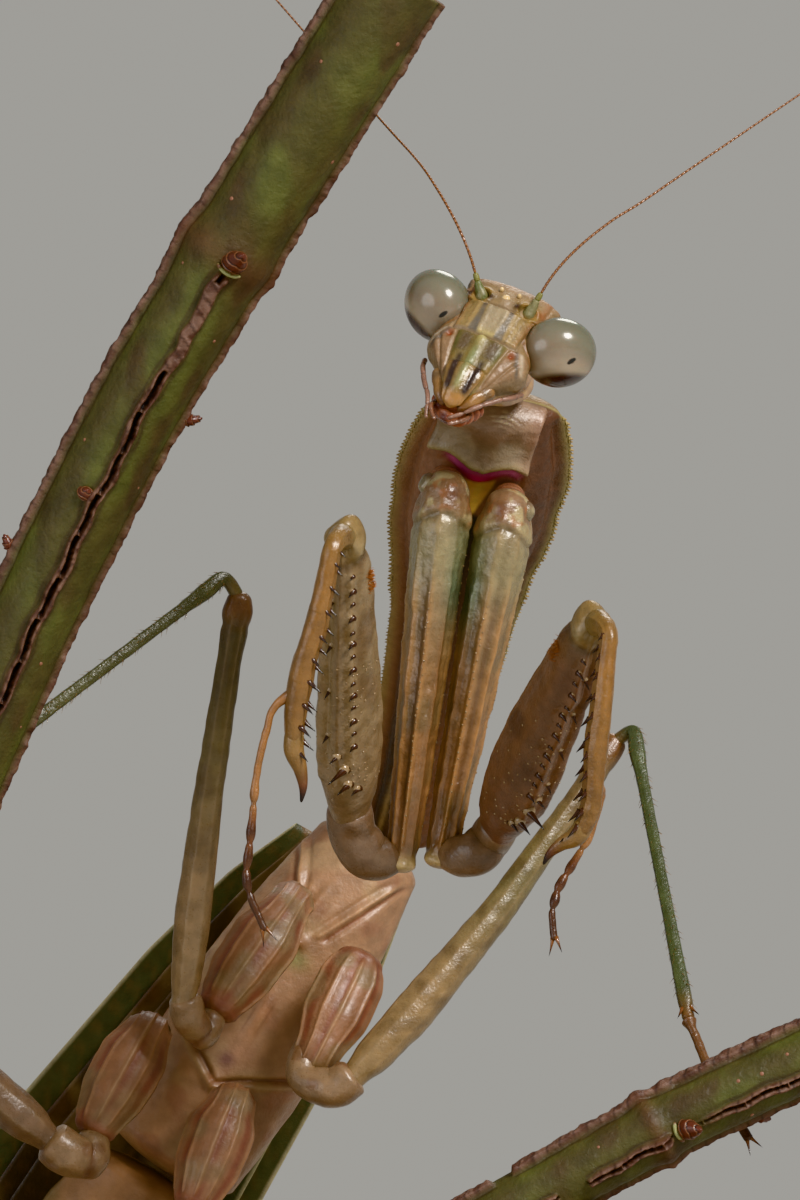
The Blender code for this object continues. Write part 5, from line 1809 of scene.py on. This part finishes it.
def build_walking_coxa(leg):
    """The keeled coxa of a walking leg, sunk into the breast at its hip."""
    body = centre_of("pterothorax")
    line, _ = limb_line(leg + "_coxa", body)
    reach, depth = (0.2, 1.7) if leg.startswith("hind") else (1.3, 2.4)
    hip = line[0] + unit(line[0] - line[1]) * reach + np.array((0, depth, 0))
    skin = body_skin(leg + "_coxa", body, FRONT, 200, 160, 2.0, (0.9, 0.5), 10, (0, 0.5), 1.08, hip)
    share, angle = skin.share, skin.angle
    lines = keels(skin, (-1.2, -0.45, 0.1, 0.75, 1.4), 0.07, 0.09, 0.1, 0.94)
    keel_highlight = keels(skin, (0.1,), 0.1, 1.0, 0.2, 0.9)
    skin.raise_by(
        0.12 * bump(share, 0.55, 0.25) + lines - 0.03 * np.cos(angle * 7) + 0.03 * skin.lumps(0.7)
    )
    coat = plain_coat(share, 150, 108, 80)
    coat.wash(128, 68, 52, np.clip(np.cos(angle * 7), 0, 1) * ramp(share, 0.2, 0.35) * 0.7)
    coat.wash(174, 130, 92, np.clip(lines / 0.09, 0, 1) * 0.5)
    # Painted highlight: a pale streak along the keel nearest the front.
    coat.wash(186, 154, 120, keel_highlight * 0.4)
    coat.wash(138, 122, 90, ramp(skin.lumps(1.1), 0, 0.5) * 0.5)
    coat.wash(138, 84, 62, bump(share, 0.95, 0.04) * 0.7)
    skin.finish(leg + "_coxa_skin", coat, "belly", "underside", leg + "_coxa")
    return skin


def build_walking_trochanter(leg, coxa_end):
    """The knuckle between the coxa and the femur of a walking leg."""
    centres, sizes = limb_line(leg + "_trochanter", coxa_end, count=5)
    thigh, girth = limb_line(leg + "_femur", centres[-1], count=18)
    width = max(sizes.max(), girth[2].max() * 1.02)
    path = np.vstack((coxa_end, centres[1:4], thigh[0] + unit(thigh[1] - thigh[0]) * 0.2))
    girths = np.array((0.7, 0.84, 0.88, 0.92, 0.9)) * width
    skin = Skin(path, np.stack((girths, girths), -1), FRONT, 110, 80, 2.1, (0.6, 0.4))
    skin.raise_by(0.05 * skin.lumps(0.5) - 0.07 * bump(skin.share, 0.42, 0.03))
    coat = plain_coat(skin.share, 152, 122, 92)
    coat.wash(128, 92, 66, ramp(skin.lumps(0.6), 0, 0.5) * 0.7)
    coat.wash(104, 66, 46, bump(skin.share, 0.42, 0.03) * 0.7)
    skin.finish(leg + "_trochanter_skin", coat, "leg", "walking_leg", leg + "_trochanter")


def build_walking_femur(leg):
    """The slender femur of a walking leg, with faint keels and a knee."""
    paint = WALKING_PAINT[leg]
    hip = centre_of(leg + "_trochanter")
    skin = body_skin(leg + "_femur", hip, FRONT, 240, 72, 2.0, (0.4, 0.4), 18, (0.8, 0.3), 0.92)
    share, angle = skin.share, skin.angle
    lines = keels(skin, (-2.2, -1.2, -0.3, 0.6, 1.6, 2.7), 0.12, 0.03)
    knee = bump(share, 0.965, 0.03)
    skin.raise_by(
        lines + 0.1 * knee * np.abs(np.sin(angle)) - 0.06 * bump(share, 0.92, 0.012)
        + 0.03 * skin.lumps(0.5)
    )
    coat = coat_along(
        skin, (0, *paint["base"]), (0.3, *paint["base"]), (0.6, *paint["mid"]), (0.9, *paint["far"]),
        (1, 138, 96, 56),
    )
    coat.wash(92, 72, 50, ramp(skin.lumps(0.9), 0.1, 0.5) * 0.4)
    # Thin painted highlights along the keels.
    coat.wash(170, 144, 110, np.clip(lines / 0.03, 0, 1) * 0.25)
    coat.wash(110, 70, 40, knee * 0.6)
    skin.finish(leg + "_femur_skin", coat, "leg", "walking_leg", leg + "_femur")
    return skin


def build_walking_tibia(leg, knee):
    """The four-edged shin of a walking leg."""
    shade = WALKING_PAINT[leg]["tibia"]
    skin = body_skin(leg + "_tibia", knee, FRONT, 240, 48, 2.3, (0.3, 0.25), 18, (0, 0.4), 1.0, knee)
    lines = keels(skin, (-2.36, -0.78, 0.78, 2.36), 0.25, 0.045)
    skin.raise_by(lines + 0.012 * skin.lumps(0.3))
    coat = coat_along(skin, (0, 126, 92, 52), (0.07, *shade), (0.9, *shade), (1, 120, 82, 46))
    coat.lay(ink(*shade) * 1.3, ramp(skin.lumps(0.7), 0, 0.6) * 0.6)
    skin.finish(leg + "_tibia_skin", coat, "leg", "walking_leg", leg + "_tibia")
    return skin


def arm_walking_tibia(leg, skin):
    """Two spurs at the end of the shin, and short hairs along it."""
    along = unit(skin.line[-1] - skin.line[-20])
    spurs = []
    for turn in (-0.8, 0.8):
        root, out = skin.at(0.965, turn)
        spurs.append((root - out * 0.05, out * 0.7 + along, 0.09, 0.75, along))
    hairs = []
    generator = np.random.default_rng(SEED)
    for _ in range(170):
        place = 0.06 + 0.9 * generator.random()
        root, out = skin.at(place, generator.uniform(-math.pi, math.pi))
        hairs.append((root, out + along * 1.1, 0.016, 0.2 + 0.12 * generator.random(), along))
    grow(leg + "_spurs", "spines", spurs, "claw", "walking_leg", Sides=8, Hook=0.1, Point=0.08)
    grow(leg + "_hairs", "spines", hairs, "hair", "walking_leg", Sides=3, Hook=0.1, Point=0.2)


def build_walking_leg(leg):
    """A whole walking leg, from the breast to the foot."""
    coxa = build_walking_coxa(leg)
    build_walking_trochanter(leg, coxa.line[-16])
    femur = build_walking_femur(leg)
    tibia = build_walking_tibia(leg, femur.line[-8])
    arm_walking_tibia(leg, tibia)
    joints = (0.42, 0.58, 0.7, 0.8)
    tint = ink(112, 76, 46)
    build_tarsus(leg + "_foot", leg + "_tarsus", tibia.line[-1], joints, 0.21, tint, "feeler_and_foot")


# Perch and stand ----------------------------------------------------------------------------


NODE_HEIGHT = 93.4
RIDGE_FACING = {"right": (0.22, -0.97, 0.0), "left": (0.15, -0.92, -0.35)}


def share_at(skin, axis, place):
    """The share of a limb's length where its middle line comes nearest a coordinate."""
    row = int(np.argmin(np.abs(skin.line[:, axis] - place)))
    return float(skin.share[min(row, len(skin.share) - 1), 0])


def build_twig(name, settings):
    """A green twig with four corky wings, the front one split by a crack painted dark as shade, and fresh
    cut ends.
    """
    node = "perch_stem_" + name
    knotted = name == "right"
    low_end = np.array(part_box(node)[0]) / MM
    skin = body_skin(node, low_end, RIDGE_FACING[name], 900, 260, 2.0, (0.05, 0.05), 26)
    share, angle = skin.share, skin.angle
    skin.points = skin.points - skin.out * 0.16
    along = share * skin.length
    number = np.round(angle / (math.pi / 2)).astype(int) % 4
    front = number == 0
    ripple = 0.03 * np.sin(along * 1.1) + 0.022 * np.sin(along * 2.9 + 1)
    quarter = (angle + math.pi / 4) % (math.pi / 2) - math.pi / 4 + ripple * front
    lane = rough(np.stack((along, 0 * along + 7.0 * number, 0 * along), -1), 2.6)
    fine = rough(np.stack((along, 0 * along + 3.0 * number, quarter * 9), -1), 0.6)
    wide = settings.cork_width * (1 + 0.3 * fine)
    knot = share_at(skin, 2, NODE_HEIGHT) if knotted else 0.73
    swelling = bump(share, knot, 0.012)
    below = ramp(share, knot - 0.012, knot - 0.006) * knotted
    gap = 0.95 if knotted else 0.4
    broken = np.where(front, np.maximum(ramp(lane, gap, gap + 0.1), below), ramp(lane, 0.85, 0.95))
    crest = ramp(-np.abs(quarter), -wide - 0.05, -wide + 0.03) * (1 - broken)
    closed = (bump(share, knot - 0.045, 0.03) > 0.35) & knotted
    bridge = ramp(np.abs((along / 2.1) % 1 - 0.5), 0.46, 0.49)
    crack = front * crest * ramp(-np.abs(quarter), -0.062, -0.035) * (1 - closed) * (1 - bridge)
    cork = crest * (0.36 + 0.06 * skin.lumps(0.5) + 0.05 * skin.lumps(0.2))
    flat = skin.points * (1, 1, 0.4)
    skin.raise_by(
        cork - 0.62 * crack + 0.03 * rough(flat, 0.7) + 0.012 * skin.lumps(0.25) + 0.2 * swelling
    )
    coat = plain_coat(share, 84, 78, 42)
    coat.wash(94, 98, 48, ramp(rough(flat, 1.6), -0.1, 0.5) * 0.7)
    # Painted shade darkens the hollows between the wings, mixed with random brown mottling; the dark line
    # at the foot of each wing is painted shade in the corner.
    shade = ramp(np.abs(quarter), 0.35, 0.75)
    coat.wash(74, 56, 36, shade * 0.35 + 0.5 * ramp(rough(flat, 1.1), 0.1, 0.6))
    coat.wash(60, 44, 28, bump(np.abs(quarter), wide + 0.08, 0.06) * (1 - broken) * 0.75)
    solid_cork = np.clip(crest * 1.3, 0, 1)
    coat.wash(120, 90, 76, solid_cork)
    coat.wash(86, 56, 46, solid_cork * ramp(skin.lumps(0.35), 0.0, 0.4) * 0.8)
    coat.wash(58, 38, 32, solid_cork * ramp(np.abs(np.sin(along * 4.5 + 5 * quarter)), 0.93, 1.0) * 0.7)
    # The crack is painted near black as shade.
    coat.wash(22, 12, 10, np.clip(crack * 1.6, 0, 1))
    coat.wash(96, 58, 42, swelling * 0.5)
    cut = np.maximum(ramp(-share, -0.0006, 0), ramp(share, 0.9994, 1))
    coat.wash(200, 184, 136, cut)
    skin.finish("twig_" + name, coat, "bark", "twig", node)
    build_warts(name, skin)
    return skin


def build_warts(name, skin):
    """Small corky warts in the hollows between a twig's wings."""
    generator = np.random.default_rng(SEED + len(name))
    warts = []
    for _ in range(40):
        turn = generator.choice((-1, 0, 1, 2)) * math.pi / 2 + math.pi / 4 + generator.uniform(-0.25, 0.25)
        root, out = skin.at(generator.uniform(0.02, 0.98), turn)
        warts.append(
            (root - out * 0.04, out, 0.08 + 0.06 * generator.random(), 0.07, skin.line[5] - skin.line[0])
        )
    grow("twig_warts_" + name, "beads", warts, "wart", "twig", Detail=2)


def build_bud(name, skin, share, angle, size, reach, leaf_scar=True):
    """A pointed bud of overlapping scales that stands on a twig, over a pale leaf scar."""
    root, out = skin.at(share, angle)
    row = int(np.argmin(np.abs(skin.share[:, 0] - share)))
    along = unit(skin.line[min(row + 6, len(skin.line) - 1)] - skin.line[row - 6])
    aim = unit(out * 0.75 + along * 0.6)
    path = [root - aim * 0.2, root + aim * reach * 0.3, root + aim * reach * 0.7, root + aim * reach]
    bud = Skin(
        path, [(size, size * 0.8), (size * 1.05, size * 0.9), (size * 0.6, size * 0.55), (0.08, 0.08)],
        along, 90, 64, 2.0, (0.2, 0.15),
    )
    phase = (bud.share * 3.4 + 0.4 * np.abs(np.sin(bud.angle))) % 1
    bud.raise_by(0.06 * (phase - 0.5))
    coat = plain_coat(bud.share, 104, 54, 40)
    coat.wash(48, 22, 18, ramp(-phase, -0.25, 0))
    coat.wash(160, 110, 76, ramp(phase, 0.86, 1.0) * 0.7)
    bud.finish(name, coat, "leg", "twig")
    if leaf_scar:
        base = root - along * size * 0.9 + out * 0.02
        side = unit(np.cross(along, out))
        arc = [
            base + side * (x * size * 1.2) + along * (0.35 * size * x * x)
            + out * (0.06 - 0.25 * x * x * size) for x in np.linspace(-1, 1, 7)
        ]
        scar = Skin(arc, [(0.12, 0.1)] * 7, along, 40, 24, 2.0, (0.2, 0.2))
        coat = plain_coat(scar.share, 176, 176, 124)
        coat.wash(120, 84, 60, ramp(scar.lumps(0.3), 0.1, 0.5))
        scar.finish(name + "_leaf_scar", coat, "leg", "twig")


def lathe(name, profile, steps=128):
    """A turned piece from (radius, height) pairs in millimetres, closed on its axis."""
    points, faces = [], []
    ring = []
    for radius, height in profile:
        start = len(points)
        for i in range(steps):
            turn = 2 * math.pi * i / steps
            points.append((radius * math.cos(turn), radius * math.sin(turn), height))
        ring.append(start)
    for a, b in zip(ring, ring[1:]):
        faces += [(a + i, a + (i + 1) % steps, b + (i + 1) % steps, b + i) for i in range(steps)]
    faces.append(tuple(reversed(range(ring[0], ring[0] + steps))))
    faces.append(tuple(range(ring[-1], ring[-1] + steps)))
    return new_piece(name, points, faces)


def build_display_base():
    """The turned base, a collar round the foot of each rod, and the rods' brass."""
    low, high = (np.array(corner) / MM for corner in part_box("stand_base"))
    radius, top = high[0], high[2]
    profile = [(radius - 1.6, 0.0), (radius - 0.6, 0.05), (radius - 0.05, 0.6)]
    profile += [(radius, 1.2), (radius, top - 2.6), (radius - 0.5, top - 2.1), (radius - 0.75, top - 2.0)]
    for i in range(9):
        turn = math.pi / 2 * i / 8
        profile.append((radius - 2.4 + 1.5 * math.cos(turn), top - 1.5 + 1.5 * math.sin(turn)))
    base = lathe("display_base", profile + [(radius * 0.5, top)], 160)
    base.data.set_sharp_from_angle(angle=math.radians(50))
    settle(base, FINISH["base"], ["stand_base"])
    for name in SIDES:
        node = "stand_rod_" + name
        low, high = (np.array(corner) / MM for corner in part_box(node))
        middle = (low + high) / 2
        half = (high[0] - low[0]) / 2
        profile = [
            (half + 1.5, top - 0.02), (half + 1.6, top + 0.5), (half + 1.2, top + 0.95),
            (half + 0.5, top + 1.1), (half + 0.1, top + 1.8), (half - 0.05, top + 1.8),
        ]
        collar = lathe("rod_collar_" + name, profile, 64)
        for vertex in collar.data.vertices:
            vertex.co.x += middle[0] * MM
            vertex.co.y += middle[1] * MM
        collar.data.set_sharp_from_angle(angle=math.radians(45))
        settle(collar, FINISH["rod"])
        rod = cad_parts[node]
        for slot in rod.material_slots:
            slot.material = FINISH["rod"]


def build_perch(settings):
    """Both twigs and their six buds."""
    right = build_twig("right", settings)
    left = build_twig("left", settings)
    build_bud("bud_node", right, share_at(right, 2, NODE_HEIGHT), 0.05, 0.5, 1.3)
    build_bud("bud_side", right, share_at(right, 2, 87.0), 1.55, 0.28, 0.7, False)
    build_bud("bud_round", right, share_at(right, 2, 82.9), -0.3, 0.36, 0.42, False)
    build_bud("bud_outer", right, share_at(right, 2, 79.5), -1.6, 0.28, 0.6, False)
    build_bud("bud_scar", left, share_at(left, 0, 19.6), 0.0, 0.45, 1.1)
    build_bud("bud_lower", left, share_at(left, 0, 22.6), 1.7, 0.35, 0.7, False)


def build_foreleg(name, side, settings):
    """A whole grasping leg, from the breast to the foot."""
    coxa = build_fore_coxa(name, side)
    build_coxal_membrane(name, coxa)
    build_coxal_knob(name, side)
    build_coxa_beads(name, side, coxa)
    build_fore_trochanter(name)
    thigh = build_fore_femur(name, side, settings)
    shin = build_fore_tibia(name, side, settings, thigh.line[-22])
    tint = ink(152, 106, 64)
    start = limb_line("foretarsus_" + name, shin.line[-1])[0][0]
    ankle = shin.line[max(np.argmin(np.linalg.norm(shin.line - start, axis=1)) - 22, 0)]
    build_tarsus(
        "fore_foot_" + name, "foretarsus_" + name, ankle, (0.5, 0.65, 0.75, 0.84), 0.16, tint,
        "feeler_and_foot",
    )


# Settings, operators and panel --------------------------------------------------------------


class MantisBody(bpy.types.PropertyGroup):
    tooth_spacing: FloatProperty(
        name="Tooth Spacing", description="Gap between the small teeth of the pronotum's margins",
        default=0.00024, unit="LENGTH",
    )
    wing_thickness: FloatProperty(
        name="Wing Thickness", description="Thickness of each folded wing's sheet",
        default=0.00012, unit="LENGTH",
    )
    feeler_radius: FloatProperty(
        name="Feeler Radius", description="Radius of a feeler's thread at its root",
        default=0.000068, unit="LENGTH",
    )
    feeler_ring: FloatProperty(
        name="Feeler Ring", description="Length of one ring of a feeler's thread",
        default=0.00024, unit="LENGTH",
    )


class MantisLegs(bpy.types.PropertyGroup):
    inner_spines: IntProperty(
        name="Inner Spines", description="Spines in the inner row of each grasping femur", default=14
    )
    tibia_spines: IntProperty(
        name="Shin Spines", description="Spines in the inner row of each grasping shin", default=11
    )


class MantisPerch(bpy.types.PropertyGroup):
    cork_width: FloatProperty(
        name="Cork Width", description="Half width of a corky wing, in radians round the twig",
        default=0.13, subtype="ANGLE",
    )


class MantisStage(bpy.types.PropertyGroup):
    key_power: FloatProperty(
        name="Key Power", description="Strength of the high light", default=3.6, unit="POWER"
    )
    fill_power: FloatProperty(
        name="Fill Power", description="Strength of the broad light", default=0.9, unit="POWER"
    )
    rim_power: FloatProperty(
        name="Rim Power", description="Strength of the light behind", default=0.45, unit="POWER"
    )
    camera_distance: FloatProperty(
        name="Camera Distance", description="From the lens to the mantis's head",
        default=0.39918, unit="LENGTH",
    )
    frame_height: FloatProperty(
        name="Frame Height", description="Height of the picture at the mantis's head",
        default=0.05252, unit="LENGTH",
    )
    floor_radius: FloatProperty(
        name="Floor Radius", description="Radius of the pale floor", default=0.7, unit="LENGTH"
    )


class MANTIS_OT_materials(bpy.types.Operator):
    """Makes the finishes and the trees of repeated pieces"""

    bl_idname = "mantis.materials"
    bl_label = "Finishes"

    def execute(self, context):
        FINISH.update(make_materials())
        TREES.update(spines=spine_tree(), beads=bead_tree(), rings=ring_tree())
        return {"FINISHED"}


class MANTIS_OT_head(bpy.types.Operator):
    """Builds the head, its eyes, mouth and feelers"""

    bl_idname = "mantis.head"
    bl_label = "Head"

    def execute(self, context):
        settings = context.scene.mantis_body
        head = build_head_pieces()
        build_palps(head)
        build_antennae(head, settings)
        return {"FINISHED"}


class MANTIS_OT_trunk(bpy.types.Operator):
    """Builds the neck, the toothed shield, the breast and the ringed abdomen"""

    bl_idname = "mantis.trunk"
    bl_label = "Trunk"

    def execute(self, context):
        build_neck()
        build_prothorax(context.scene.mantis_body)
        build_pterothorax()
        build_abdomen()
        return {"FINISHED"}


class MANTIS_OT_wings(bpy.types.Operator):
    """Builds the four folded wings"""

    bl_idname = "mantis.wings"
    bl_label = "Wings"

    def execute(self, context):
        for name in SIDES:
            build_wing("tegmen_" + name, True, context.scene.mantis_body)
            build_wing("hindwing_" + name, False, context.scene.mantis_body)
        return {"FINISHED"}


class MANTIS_OT_forelegs(bpy.types.Operator):
    """Builds the two grasping legs"""

    bl_idname = "mantis.forelegs"
    bl_label = "Grasping Legs"

    def execute(self, context):
        for name, side in SIDES.items():
            build_foreleg(name, side, context.scene.mantis_legs)
        return {"FINISHED"}


class MANTIS_OT_walking_legs(bpy.types.Operator):
    """Builds the four walking legs"""

    bl_idname = "mantis.walking_legs"
    bl_label = "Walking Legs"

    def execute(self, context):
        for leg in WALKING_PAINT:
            build_walking_leg(leg)
        return {"FINISHED"}


class MANTIS_OT_perch(bpy.types.Operator):
    """Builds the two winged twigs and the display stand"""

    bl_idname = "mantis.perch"
    bl_label = "Perch and Stand"

    def execute(self, context):
        build_perch(context.scene.mantis_perch)
        build_display_base()
        return {"FINISHED"}


class MANTIS_OT_stage(bpy.types.Operator):
    """Adds a pale floor, soft lights, the sky and the camera"""

    bl_idname = "mantis.stage"
    bl_label = "Stage"

    def execute(self, context):
        build_stage(context)
        return {"FINISHED"}


class MANTIS_PT_sidebar(bpy.types.Panel):
    bl_idname = "MANTIS_PT_sidebar"
    bl_label = "Chinese Mantis"
    bl_space_type = "VIEW_3D"
    bl_region_type = "UI"
    bl_category = "Mantis"

    def draw(self, context):
        column = self.layout.column()
        for name in STEPS:
            column.operator("mantis." + name)
        for group in (context.scene.mantis_body, context.scene.mantis_legs, context.scene.mantis_perch):
            for key in group.bl_rna.properties.keys():
                if key not in {"rna_type", "name"}:
                    column.prop(group, key)


STEPS = ("materials", "head", "trunk", "wings", "forelegs", "walking_legs", "perch", "stage")
GROUPS = {
    "mantis_body": MantisBody,
    "mantis_legs": MantisLegs,
    "mantis_perch": MantisPerch,
    "mantis_stage": MantisStage,
}
OPERATORS = (
    MANTIS_OT_materials,
    MANTIS_OT_head,
    MANTIS_OT_trunk,
    MANTIS_OT_wings,
    MANTIS_OT_forelegs,
    MANTIS_OT_walking_legs,
    MANTIS_OT_perch,
    MANTIS_OT_stage,
)


# Stage --------------------------------------------------------------------------------------


def soft_light(name, place, aim, width, power, colour):
    """A round soft lamp that looks at a point."""
    light = bpy.data.lights.new(name, "AREA")
    light.shape = "DISK"
    light.size = width
    light.energy = power
    light.color = colour
    lamp = bpy.data.objects.new(name, light)
    lamp.location = place
    lamp.rotation_euler = (Vector(aim) - Vector(place)).to_track_quat("-Z", "Y").to_euler()
    bpy.context.scene.collection.objects.link(lamp)


def build_stage(context):
    """The floor, sky, three lamps and the camera, set out from the middle of the head."""
    scene = context.scene
    settings = scene.mantis_stage
    reach = settings.floor_radius / MM
    floor = lathe("floor", [(reach, -1.0), (reach, -0.05)], 96)
    material, _, shader = new_material("pale_floor", Roughness=0.8)
    shader.inputs["Base Color"].default_value = (*ink(226, 223, 216), 1)
    floor.data.materials.append(material)
    world = bpy.data.worlds.new("studio")
    scene.world = world
    world.use_nodes = True
    sky = world.node_tree.nodes["Background"]
    sky.inputs["Color"].default_value = (*ink(232, 230, 224), 1)
    sky.inputs["Strength"].default_value = 0.62
    head = centre_of("head") * MM
    soft_light(
        "key", head + np.array((0.26, -0.34, 0.3)), head, 0.16, settings.key_power, (1.0, 0.975, 0.94)
    )
    soft_light(
        "fill", head + np.array((-0.4, -0.3, 0.02)), head, 0.4, settings.fill_power, (0.93, 0.96, 1.0)
    )
    soft_light("rim", head + np.array((0.1, 0.4, 0.35)), head, 0.2, settings.rim_power, (1.0, 0.98, 0.94))
    camera = bpy.data.cameras.new("camera")
    camera.sensor_fit = "VERTICAL"
    camera.sensor_height = 24.0
    camera.lens = 24.0 * settings.camera_distance / settings.frame_height
    camera.clip_start = 0.01
    viewer = bpy.data.objects.new("camera", camera)
    viewer.location = head + np.array((-0.00404, -settings.camera_distance, -0.01123))
    viewer.rotation_euler = (math.pi / 2, 0, 0)
    scene.collection.objects.link(viewer)
    scene.camera = viewer
    scene.view_settings.view_transform = "Khronos PBR Neutral"


def register():
    for cls in (*GROUPS.values(), *OPERATORS, MANTIS_PT_sidebar):
        bpy.utils.register_class(cls)
    for name, cls in GROUPS.items():
        setattr(bpy.types.Scene, name, PointerProperty(type=cls))


def unregister():
    for name in GROUPS:
        delattr(bpy.types.Scene, name)
    for cls in reversed((*GROUPS.values(), *OPERATORS, MANTIS_PT_sidebar)):
        bpy.utils.unregister_class(cls)


def main():
    register()
    for name in STEPS:
        getattr(bpy.ops.mantis, name)()


if __name__ == "__main__":
    main()
